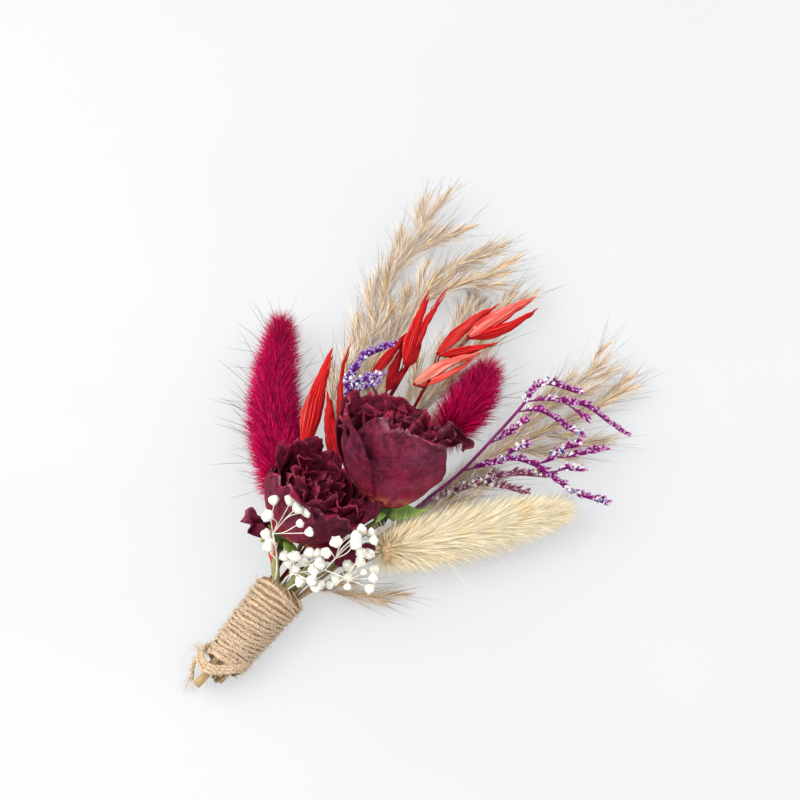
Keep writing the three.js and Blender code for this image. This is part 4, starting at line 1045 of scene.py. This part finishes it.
lavenders = {
    "seaLavenderRight": {
        "node": "sea_lavender_right", "paint": "lavender",
        "stem": [
            *fineStem(1.5, 1), (7.6, 34, 11.4), (11.2, 44, 10.8), (12.8, 52, 9.6), (15, 61, 11), (18, 70, 14),
            (19.6, 78, 17), (20, 95, 16.2),
        ],
        "crown": [
            (19.8, 98.6, 16), (19.6, 102.5, 15.5), (21.7, 105.5, 15.2), (24.9, 106.8, 14.8),
            (28.4, 108, 14.4),
        ],
        "branches": [
            [(19.7, 96.4, 16.2), (23.5, 100.7, 15.4), (27.9, 103.6, 14.4), (32.4, 106.5, 13.4),
             (38.3, 106.7, 12.4), (44, 106.8, 11.5)],
            [(19.9, 93, 16.2), (23.9, 96.9, 15.3), (28, 98, 14.4), (31.8, 98.1, 13.4), (35.2, 98.8, 12.5)],
            [(27.9, 103.6, 14.4), (30.6, 103.4, 14.6), (34, 103, 14)],
            [(19.7, 80.3, 17), (21.9, 84.8, 17), (22.7, 88.2, 16.8), (23.4, 91.2, 16.4)],
            [(18.4, 71.4, 14.4), (22.4, 76, 14.8), (26.9, 81.8, 14.2), (31.7, 84, 13.3), (37.3, 84.4, 12.3),
             (43.7, 84.6, 11.3), (50.9, 87, 10.6)],
            [(31.2, 83.7, 13.8), (34.2, 86.9, 14.1), (35.4, 91.5, 13.7), (36.9, 95.3, 13)],
            [(34.8, 88.8, 13.9), (37.6, 91.6, 13.4), (40.3, 95.4, 12.6), (42.6, 98.6, 12)],
            [(24.6, 79, 14.6), (25.4, 82.1, 15.6), (27.4, 85.4, 16.2)],
            [(36, 84.3, 12.6), (38.2, 87.6, 13), (41.4, 90, 12.6)],
        ],
    },
    "seaLavenderLow": {
        "node": "sea_lavender_low", "paint": "fadedLavender",
        "stem": [*fineStem(1, 0), (5.8, 33, 6), (11, 47, 5.4), (14, 59, 7.6)],
        "crown": [(20.4, 68, 11.6), (28, 78, 13), (35.6, 84.6, 11)],
        "branches": [
            [(12.4, 52.6, 6.3), (16.4, 58, 5.6), (20.6, 68, 7.4), (24, 77, 9)],
            [(22.4, 70.8, 11.9), (27.4, 74.6, 11.2), (33.4, 77.4, 10)],
        ],
    },
    "seaLavenderLeft": {
        "node": "sea_lavender_left", "paint": "violet",
        "stem": [*fineStem(-0.5, -1), (-6.2, 40, 6.2), (-9, 52, 9), (-10.6, 60, 14), (-13, 66, 20)],
        "crown": [(-16.4, 68.6, 22), (-18.2, 72.6, 23.4), (-18.4, 77.7, 24.6), (-15.2, 84.1, 25.4)],
        "branches": [
            [(-15.6, 67.4, 21.6), (-15, 71.9, 23.8), (-12.2, 75.9, 24.2)],
            [(-15.2, 67, 21.4), (-13.5, 70.3, 24), (-11.4, 73.1, 24.8)],
        ],
    },
}
sprigThick = {"main": 0.42, "branch": 0.24}
floretLayers = {  # packed florets everywhere, open ones in patches
    "Floret": {"spacing": 0.19, "length": 2.5, "turnSeed": 91, "looks": {"seed": 95, "lean": 0.44}},
    "Open floret": {"spacing": 0.26, "length": 1.9, "turnSeed": 131, "patchy": 0.55, "looks": {
        "seed": 135, "lean": 0.8, "leanSpread": 0.35, "lengthSpread": 0.25, "clumping": 0.5, "kind": 1.0}},
}


def floretShape(name, outline, depth):  # a funnel, lobed at its mouth and hollow to that depth
    rings = []
    for rise, radius in outline:
        lobes = [radius * (1 + (0.25 if k % 2 else -0.2) * rise) for k in range(6)]
        ring = zip(lobes, around(6))
        rings.append([(lobe * math.cos(turn), lobe * math.sin(turn), rise) for lobe, turn in ring])
    return smallPart(name, rings, (0, 0, depth), tipRise=0.8)


def makeLavenders():
    tree = layeredTree("florets", floretLayers, 500.0, upward=True, flatness=1)
    shapes = {
        "Floret": floretShape("floret", [(0.0, 0.04), (0.45, 0.095), (0.85, 0.095), (1.0, 0.1)], 0.86),
        "Open floret": floretShape("openFloret", [(0.0, 0.05), (0.5, 0.1), (0.86, 0.17), (1.0, 0.24)], 0.72),
    }
    for name, sprig in lavenders.items():
        draft = Draft()
        main = smoothPath([*sprig["stem"], *sprig["crown"]], 1.5)
        fork = Vector(sprig["stem"][-1])
        bareCount = min(range(len(main)), key=lambda i: (main[i] - fork).length)
        reach = [1.0 if i > bareCount else 0.0 for i in range(len(main))]
        draft.path(main, thick=sprigThick["main"] * mm, reach=reach)
        for points in sprig["branches"]:
            branch = smoothPath(points, 1.5)
            reach = [0.0 if i < 2 else 1.0 for i in range(len(branch))]
            draft.path(branch, thick=sprigThick["branch"] * mm, reach=reach)
        skins = (sprig["paint"], "purpleStem")
        makeLayered(draft, name, sprig["node"], "sea_lavender", tree, floretLayers, shapes, skins)


# Roses

petalSizes = ("turn", "rim", "flare", "height", "halfWidth", "fold", "slope")
roses = {  # curled are the loose petals: line in the photograph, heights, half width and curl
    "roseLarge": {
        "node": "rose_large", "foot": (7.6, 51.9, 14), "axis": (-0.26, 0.61, 0.73), "height": 25,
        "radius": 15.4, "inner": 17, "seed": 11,
        "outer": [
            (-78, 13.8, 1.2, 26.5, 16, 3.4, 0), (14, 14.6, 1.4, 26.2, 13.5, 1.2, -1.6),
            (84, 12.6, 1.2, 25, 11.5, 1, 0), (140, 13, 1.4, 22.5, 12, 1, 1), (214, 14, 1.8, 26.5, 14, 1, 0),
        ],
        "sepals": [(86, 9.8, 2.1, -2.4, 1.2), (150, 7, 1.7, 0.6, 0), (350, 4.4, 1.6, 1.6, 0)],
        "stem": [*longStem(0.39, 1, 1.2, 1.1, -7), (3.6, 32, 9.3)],
        "curled": [
            ([(428, 452), (446, 438), (458, 437), (470, 447)], (22, 23), 1.9, 0.9),
            ([(430, 446), (444, 434), (452, 430)], (23, 26), 1.7, 1.1),
        ],
    },
    "roseSmall": {
        "node": "rose_small", "foot": (-7.3, 31.6, 12.4), "axis": (0.17, 0.7, 0.7), "height": 19,
        "radius": 14, "inner": 16, "seed": 23,
        "outer": [
            (-102, 12.4, 1.4, 21, 8.5, 1, 0), (-34, 14.2, 1.6, 17.6, 14.5, 2.6, 2.6),
            (46, 13.4, 1.8, 18.4, 12.5, 1, 0), (124, 12.8, 1.6, 18, 11, 1, 0),
            (196, 12.6, 1.4, 20.5, 12, 1, 0),
        ],
        "sepals": [(50, 7, 1.9, 1, 0), (250, 6.5, 1.8, 0.6, 0), (330, 6.5, 1.7, 1.2, 0)],
        "stem": [(-1.6, -12, 5.2), *longStem(-0.83, 1, -1.3, 1, -9.2), (-4.6, 23, 9.8)],
        "curled": [
            ([(300, 536), (278, 528), (262, 524), (247, 515)], (11, 15), 2.6, 0.8),
            ([(304, 540), (330, 552), (352, 556), (374, 549)], (12.5, 15), 2.1, -0.5),
            ([(312, 544), (336, 548), (356, 550), (371, 556)], (12, 13), 2.0, 0.5),
            ([(340, 524), (356, 514), (368, 506), (377, 494)], (17, 21), 2.8, 0.9),
        ],
    },
}


def bloomFrame(rose):
    axis = Vector(rose["axis"]).normalized()
    front = (facing - axis * facing.dot(axis)).normalized()
    return Vector(rose["foot"]), axis, front, axis.cross(front)


def petalSurface(rose, turn, footRadius, body, flare, height, halfWidth, openness, ripple, waves, phase, fold,
                 slope, spiral, ragged, crumple):
    foot, axis, front, right = bloomFrame(rose)
    out = front * math.cos(turn) + right * math.sin(turn)
    along = axis.cross(out)
    seed = Vector((phase * 7, turn, 0))

    def surface(u, v):
        bulge = math.sin(math.pi / 2 * min(1, v / 0.65)) ** 0.85
        late = max(0, (v - 0.55) / 0.45)
        rippled = math.sin(u * waves + phase) * ripple * v * v
        folded = fold * max(0, u) ** 3 * v * v
        opening = flare * late * late
        distance = mix(footRadius, body, bulge) + spiral * u * bulge + opening + rippled + folded
        narrow = 0.34 + 0.66 * math.sin(math.pi / 2 * min(1, v / 0.62))
        rounding = math.sqrt(1 - 0.8 * late * late)
        bend = max(distance, 2.4) * openness
        angle = u * halfWidth * narrow * rounding / bend
        lift = 0.8 * ripple * v * v * math.cos(u * 6 + phase * 2)
        peaks = 0.5 - 2.4 * abs(noise.noise(Vector((u * 2.6, 0, 0)) + seed))
        peaks += 0.7 * noise.noise(Vector((u * 9, 5, 0)) + seed)
        rise = mix(0.9, height + slope * u, v) - 1.2 * flare * late**3 + lift + ragged * v**7 * peaks
        point = foot + out * (distance + bend * (math.cos(angle) - 1)) + along * (bend * math.sin(angle))
        point += axis * rise
        soft = noise.noise_vector(point * 0.16 + seed) * crumple
        sharp = noise.noise_vector(point * 0.55 + seed) * crumple * 0.32
        return point + (soft + sharp) * mix(0.15, 1, v)

    return surface


def addPetals(draft, rose, rng):
    for i in range(rose["inner"]):
        share = i / (rose["inner"] - 1)
        petal = {
            "turn": i * goldenAngle, "footRadius": mix(0.6, 4.4, share), "flare": mix(0.2, 1.4, share),
            "body": rose["radius"] * mix(0.08, 0.76, share) + rng.uniform(-0.6, 0.6),
            "height": rose["height"] * rng.uniform(0.87, 1.02), "halfWidth": mix(3.8, 12.5, share),
            "openness": 1, "ripple": mix(0.6, 1.5, share), "waves": rng.uniform(4, 7.5),
            "phase": rng.uniform(0, 2 * math.pi), "fold": 0, "slope": rng.uniform(-1, 1), "spiral": 1,
            "ragged": 0.9, "crumple": 2,
        }
        draft.sheet(petalSurface(rose, **petal), 24, 15, 0.22, tint=rng.random(), dust=0.25)
    for sizes in rose["outer"]:
        petal = dict(zip(petalSizes, sizes))
        petal |= {
            "turn": math.radians(petal["turn"]), "body": petal.pop("rim") - petal["flare"], "footRadius": 5,
            "openness": 1.1, "ripple": 0.45, "waves": 4.6, "phase": rng.uniform(0, 2 * math.pi),
            "spiral": 1.4, "ragged": 1.5, "crumple": 1.7,
        }
        draft.sheet(petalSurface(rose, **petal), 40, 32, 0.34, tint=mix(0.6, 1, rng.random()), dust=1.0)
    for k, (line, heights, half, curl) in enumerate(rose["curled"]):
        def widthAt(v):
            return half * (0.35 + 0.8 * math.sin(math.pi * min(1, v * 0.85 + 0.08)) ** 0.8)

        surface = bladeAlong(photoPath(line, heights), widthAt, curl, crumple=1.6, seed=3.0 * k)
        draft.sheet(surface, 18, 22, 0.3, tint=0.6, dust=0.7)


def addSepal(draft, rose, turn, length, width, droop, twist):
    foot, axis, front, right = bloomFrame(rose)
    out = front * math.cos(math.radians(turn)) + right * math.sin(math.radians(turn))
    aside = axis.cross(out) * math.cos(twist) + axis * math.sin(twist)

    def sepal(u, v):
        swell = (0.4 * (1 - v) + 0.85 * math.sin(math.pi * v**0.7)) * (1 - 0.7 * v**3)
        drop = -1.5 - droop * v * v - 0.5 * u * u + 0.2 * math.sin(9 * v + turn)
        return foot + axis * drop + out * (1.6 + length * v) + aside * (u * width * swell)

    draft.sheet(sepal, 8, 14, 0.45)


def makeRoses():
    for name, rose in roses.items():
        foot, axis, front, right = bloomFrame(rose)
        draft = Draft()
        addPetals(draft, rose, random.Random(rose["seed"]))
        cup = [foot, foot + axis * 1.4, foot + axis * 2.8]
        draft.tube(cup, lambda s: mix(2.6, 5.6, s), 20, tint=0.5, v=0.2)
        finishPiece(draft.make(name + "Petals", paints["petal"]), rose["node"] + "_petals", "rose_petals")
        draft = Draft()
        hip = [foot - axis * depth for depth in (6, 4.5, 3, 1.5, 0.35)]
        draft.tube(hip, lambda s: mix(1.2, 2.6, math.sin(s * math.pi / 2)), 16)
        for sepal in rose["sepals"]:
            addSepal(draft, rose, *sepal)
        draft.tube(smoothPath([*rose["stem"], foot - axis * 5], 2), lambda s: 1.1, 10, skin=1)
        piece = draft.make(name + "Stem", paints["green"], paints["greenStem"])
        finishPiece(piece, rose["node"] + "_stem", "rose_stems")


makeRoses()

# Oat sprays

oats = {  # husks: line in the photograph, heights, half width and tone
    "oatSprayLeft": {
        "node": "oat_spray_left", "seed": 61,
        "stem": [*fineStem(-1.87, 0, 13), (-6.2, 30, 6.8), (-9.4, 38, 7.8), (-13.4, 46, 9.6)],
        "husks": [
            ([(304, 446), (313, 402), (332.7, 345.4)], (15.5, 18.5), 2.5, 0.5),
            ([(313, 437), (325, 380), (331.5, 356.6)], (15, 18.2), 1, 0.75),
            ([(338, 464), (330, 425), (327, 391)], (15, 18), 2.1, 0.4),
            ([(341, 447), (339.8, 394), (343, 367), (351.4, 341.7)], (14.5, 19), 1, 0.3),
            ([(272, 562), (272.5, 540), (273, 520)], (10, 15.5), 1.1, 0.8),
        ],
    },
    "oatSprayMiddle": {
        "node": "oat_spray_middle", "seed": 62,
        "stem": [*fineStem(-1, 0), (-3.4, 40, 6.6), (-7.2, 60, 8.6), (-8.4, 72, 15)],
        "husks": [
            ([(371, 376), (391, 352), (411, 328)], (18, 20), 1.4, 0.25),
            ([(387, 387), (396, 363), (405, 340)], (17, 19), 1.3, 0.1),
            ([(403.8, 363.3), (412.4, 333.6), (429.7, 290)], (20, 22), 1.65, 0.5),
            ([(405.7, 366), (424, 326), (447.8, 287.2)], (19, 21.4), 1.2, 0.5),
            ([(408.6, 366), (415, 353), (422, 341)], (18.5, 20), 1.2, 0.1),
            ([(387, 390), (398, 377), (410, 363)], (17, 19), 1.2, 0.1),
        ],
    },
    "oatSprayRight": {
        "node": "oat_spray_right", "seed": 63,
        "stem": [*fineStem(0, 0), (-0.6, 42, 6.8), (-2, 62, 7.4), (-2.6, 76, 13), (-3.2, 86, 18.4)],
        "husks": [
            ([(437.3, 353.7), (457.4, 333.6), (476.6, 317.3), (500.5, 303)], (17, 20), 1.55, 0.6),
            ([(468, 336.5), (495.7, 318.3), (531, 298.7), (537, 295.8)], (18, 19), 2.2, 0.86),
            ([(469, 338.4), (500.5, 329.8), (519.6, 320.2), (539.2, 307.8)], (17, 16.4), 1.45, 0.55),
            ([(440, 355.6), (467, 349.9), (499, 342.7)], (18.4, 19.4), 1.2, 0.5),
            ([(414.4, 384.3), (425.8, 375.7), (438.3, 368), (453.6, 360.4), (481.3, 352.7)], (19, 20.4),
             1.6, 0.95),
            ([(419, 386), (443, 376.6), (462.2, 366), (479.4, 352.7)], (18, 19), 0.9, 0.65),
        ],
    },
}
huskBlades = ((0.7, 0.93, 0.8, 0.5, -0.2), (0.4, 0.8, 0.5, -0.6, 0.2))  # depth, share, width, angle, change


def huskWidth(half):  # widest a third of the way up, and drawn out straight to a fine point
    def widthAt(v):
        swell = 0.12 + 0.82 * math.sin(math.pi / 2 * min(1, v / 0.33)) ** 0.8
        return half * swell * min(1, 1.46 * (1 - v)) ** 0.95

    return widthAt


def addHusk(draft, path, half, tone, rng):
    # A papery outer blade, a narrower one behind it and a thin one between them
    roll = rng.uniform(-0.3, 0.3)
    front = bladeAlong(path, huskWidth(half), -0.3, roll, 0.5, 0.06, rng.uniform(0, 50))
    draft.sheet(front, 14, 26, 0.2, tone=tone)
    for depth, share, width, angle, change in huskBlades:
        shift = tangents(path)[0].cross(away).normalized() * math.copysign(0.35 * half, angle)
        behind = [point - away * depth + shift * min(1, 3 * i / len(path)) for i, point in enumerate(path)]
        behind = behind[: max(4, round(len(behind) * share))]
        widthAt = huskWidth(half * width)
        surface = bladeAlong(behind, widthAt, -0.4, roll + angle, 0.4, 0.04, rng.uniform(0, 50))
        draft.sheet(surface, 8, 20, 0.18, tone=min(1, max(0.05, tone + change)))


def makeOats():
    for name, oat in oats.items():
        rng = random.Random(oat["seed"])
        draft = Draft()
        stem = smoothPath(oat["stem"], 2)
        draft.tube(stem, lambda s: 0.45, 8, tone=0.2, u=0.5, v=0.2)
        for line, heights, half, tone in oat["husks"]:
            path = photoPath(line, heights, 0.8)
            addHusk(draft, path, half, tone, rng)
            base = path[0]
            endY = oat["stem"][-1][1]
            fork = min(stem, key=lambda point: (point - base).length + 0.5 * abs(point.y - endY))
            bow = fork.lerp(base, 0.6) + Vector((0, 0, -0.8))
            stalk = smoothPath([fork, bow, base], 1)
            draft.tube(stalk, lambda s: mix(0.24, 0.16, s), 6, tone=0.1, u=0.5, v=0.2)
            knot = tangents([base, base + away])[0]
            draft.tube([base - knot * 0.3, base, base + knot * 0.3], lambda s: 0.45 - 0.2 * abs(s - 0.5), 8,
                       tone=0.3, u=0.5, v=0.1)
        finishPiece(draft.make(name, paints["oat"]), oat["node"], "oat")


makeOats()
makeLavenders()

# Baby's breath

breaths = {  # hubs: where the stalks part, where their own stem starts, heights of the buds, and their pixels
    "babysBreathLeft": {
        "node": "babys_breath_left", "seed": 51,
        "stem": [*fineStem(-0.87, 1.95, 13), (-3.2, 22.6, 16.4), (-5.4, 24.6, 25)],
        "hubs": [
            ((-5.4, 24.6, 25), None, (31, 34.5),
             [(274, 501), (291, 502), (296, 508), (305, 510), (300, 524), (308, 533), (272, 515)]),
            ((-4.8, 22.2, 18.6), (-3.2, 22.6, 16.4), (19, 22), [(269, 533), (277, 538), (272, 547)]),
        ],
    },
    "babysBreathMiddle": {
        "node": "babys_breath_middle", "seed": 53,
        "stem": [*fineStem(0, 1.95, 13), (0.8, 21.4, 13.4), (1.8, 21.8, 15.6)],
        "hubs": [
            ((1.8, 21.8, 15.6), None, (16.5, 21.5),
             [(287, 555), (295, 558), (306, 550), (317, 552), (297, 570), (305, 562), (318, 562), (312, 571),
              (309, 580), (321, 582), (300, 578), (289, 564)]),
        ],
    },
    "babysBreathRight": {
        "node": "babys_breath_right", "seed": 52,
        "stem": [*fineStem(0.87, 1.95, 13), (5.4, 23.4, 15), (8.8, 26.6, 19)],
        "hubs": [
            ((10.4, 29, 23.4), (8.8, 26.6, 19), (24, 27),
             [(326, 547), (339, 541), (354, 536), (360, 528), (371, 530), (374, 539), (355, 546)]),
            ((14, 28.6, 17.6), (8.8, 26.6, 19), (15, 19.5),
             [(362, 554), (369, 555), (361, 563), (372, 567), (373, 579), (370, 588), (350, 588), (329, 586),
              (316, 587), (355, 574), (366, 573), (338, 578), (343, 566)]),
        ],
    },
}
breathThick = {"stem": 0.22, "fork": 0.2, "stalk": 0.11}
budSizes = {"length": 2.6, "rings": 9, "sides": 15, "crumple": 0.2, "notch": 0.06, "hollow": 0.74}


def budTree():
    sizes = {"Bud size": 0.0025, "Bud": "Object", "Material": "Material", "Stem material": "Material"}
    tree = Growth("buds", sizes)
    curve, stems = tree.stems()
    marked = tree.store(curve, end=tree.node("CurveEndpointSelection", 0, 1))
    points = tree.node("CurveToPoints", marked, mode="EVALUATED")
    kept = tree.node("SeparateGeometry", points, tree.mark("end") * tree.mark("reach") > 0.1)
    buds = tree.grow(
        kept, points.also("Tangent"), points.also("Normal"), "Bud", tree.given["Bud size"], 0.0,
        seed=101, lengthSpread=0.28,
    )
    return tree.finish(stems, buds)


def budShape():  # a dried bud, its crumpled petals drawn together round a hollow
    rings = []
    for i in range(budSizes["rings"]):
        rise = (i + 0.35) / (budSizes["rings"] - 0.3)
        radius = 0.5 * math.sin(math.pi * rise) ** 0.55 * mix(0.7, 1.12, rise)
        ring = []
        for turn in around(budSizes["sides"]):
            fold = noise.noise(Vector((math.cos(turn) * 2, math.sin(turn) * 2, rise * 4)))
            crumple = budSizes["crumple"] * fold * rise
            reach = radius + crumple + budSizes["notch"] * math.sin(5 * turn + 3 * rise) * rise
            ring.append((reach * math.cos(turn), reach * math.sin(turn), 0.95 * rise + 0.7 * crumple))
        rings.append(ring)
    return smallPart("bud", rings, (0, 0, budSizes["hollow"]), foot=(0, 0, 0))


def makeBreaths():
    tree, bud = budTree(), budShape()
    for name, breath in breaths.items():
        rng = random.Random(breath["seed"])
        draft = Draft()
        draft.path(smoothPath(breath["stem"], 1.5), thick=breathThick["stem"] * mm, reach=0.0)
        for hub, root, heights, buds in breath["hubs"]:
            centre = Vector(hub)
            if root:
                draft.path(smoothPath([root, hub], 1.0), thick=breathThick["fork"] * mm, reach=0.0)
            for x, y in buds:
                place = fromPhoto(x, y, rng.uniform(*heights))
                tip = place - (place - centre).normalized() * 0.5 * budSizes["length"]
                bow = Vector([rng.uniform(-1.1, 1.1) for _ in range(3)])
                bow += Vector((0, 0, 0.16 * (tip - centre).length))
                stalk = smoothPath([centre, centre.lerp(tip, 0.5) + bow, tip], 0.8)
                draft.path(stalk, thick=breathThick["stalk"] * mm, reach=1.0)
        piece = draft.make(name)
        skins = {"Material": paints["bud"], "Stem material": paints["bud"]}
        bakeTree(piece, tree, {"Bud size": budSizes["length"]}, {"Bud": bud, **skins})
        finishPiece(piece, breath["node"], "babys_breath")


makeBreaths()

# The table, and the end

floorReach = 3000
floorPaint = Paint("paleTable", roughness=0.6, specular=0.1, glow=0.5)
floorShade = floorPaint.ramp(floorPaint.noise(6.0), (0.4, (0.186, 0.192, 0.198)), (0.6, (0.2, 0.206, 0.212)))
floorDraft = Draft()
corners = [Vector((x * floorReach, y * floorReach, 0)) for x, y in ((-1, -1), (1, -1), (1, 1), (-1, 1))]
floorDraft.add(corners, [(0, 1, 2, 3)])
floor = floorDraft.make("table", floorPaint.finish(floorShade))
addCamera()
addLights()
scene.view_settings.view_transform = "Standard"
print("scene ready")
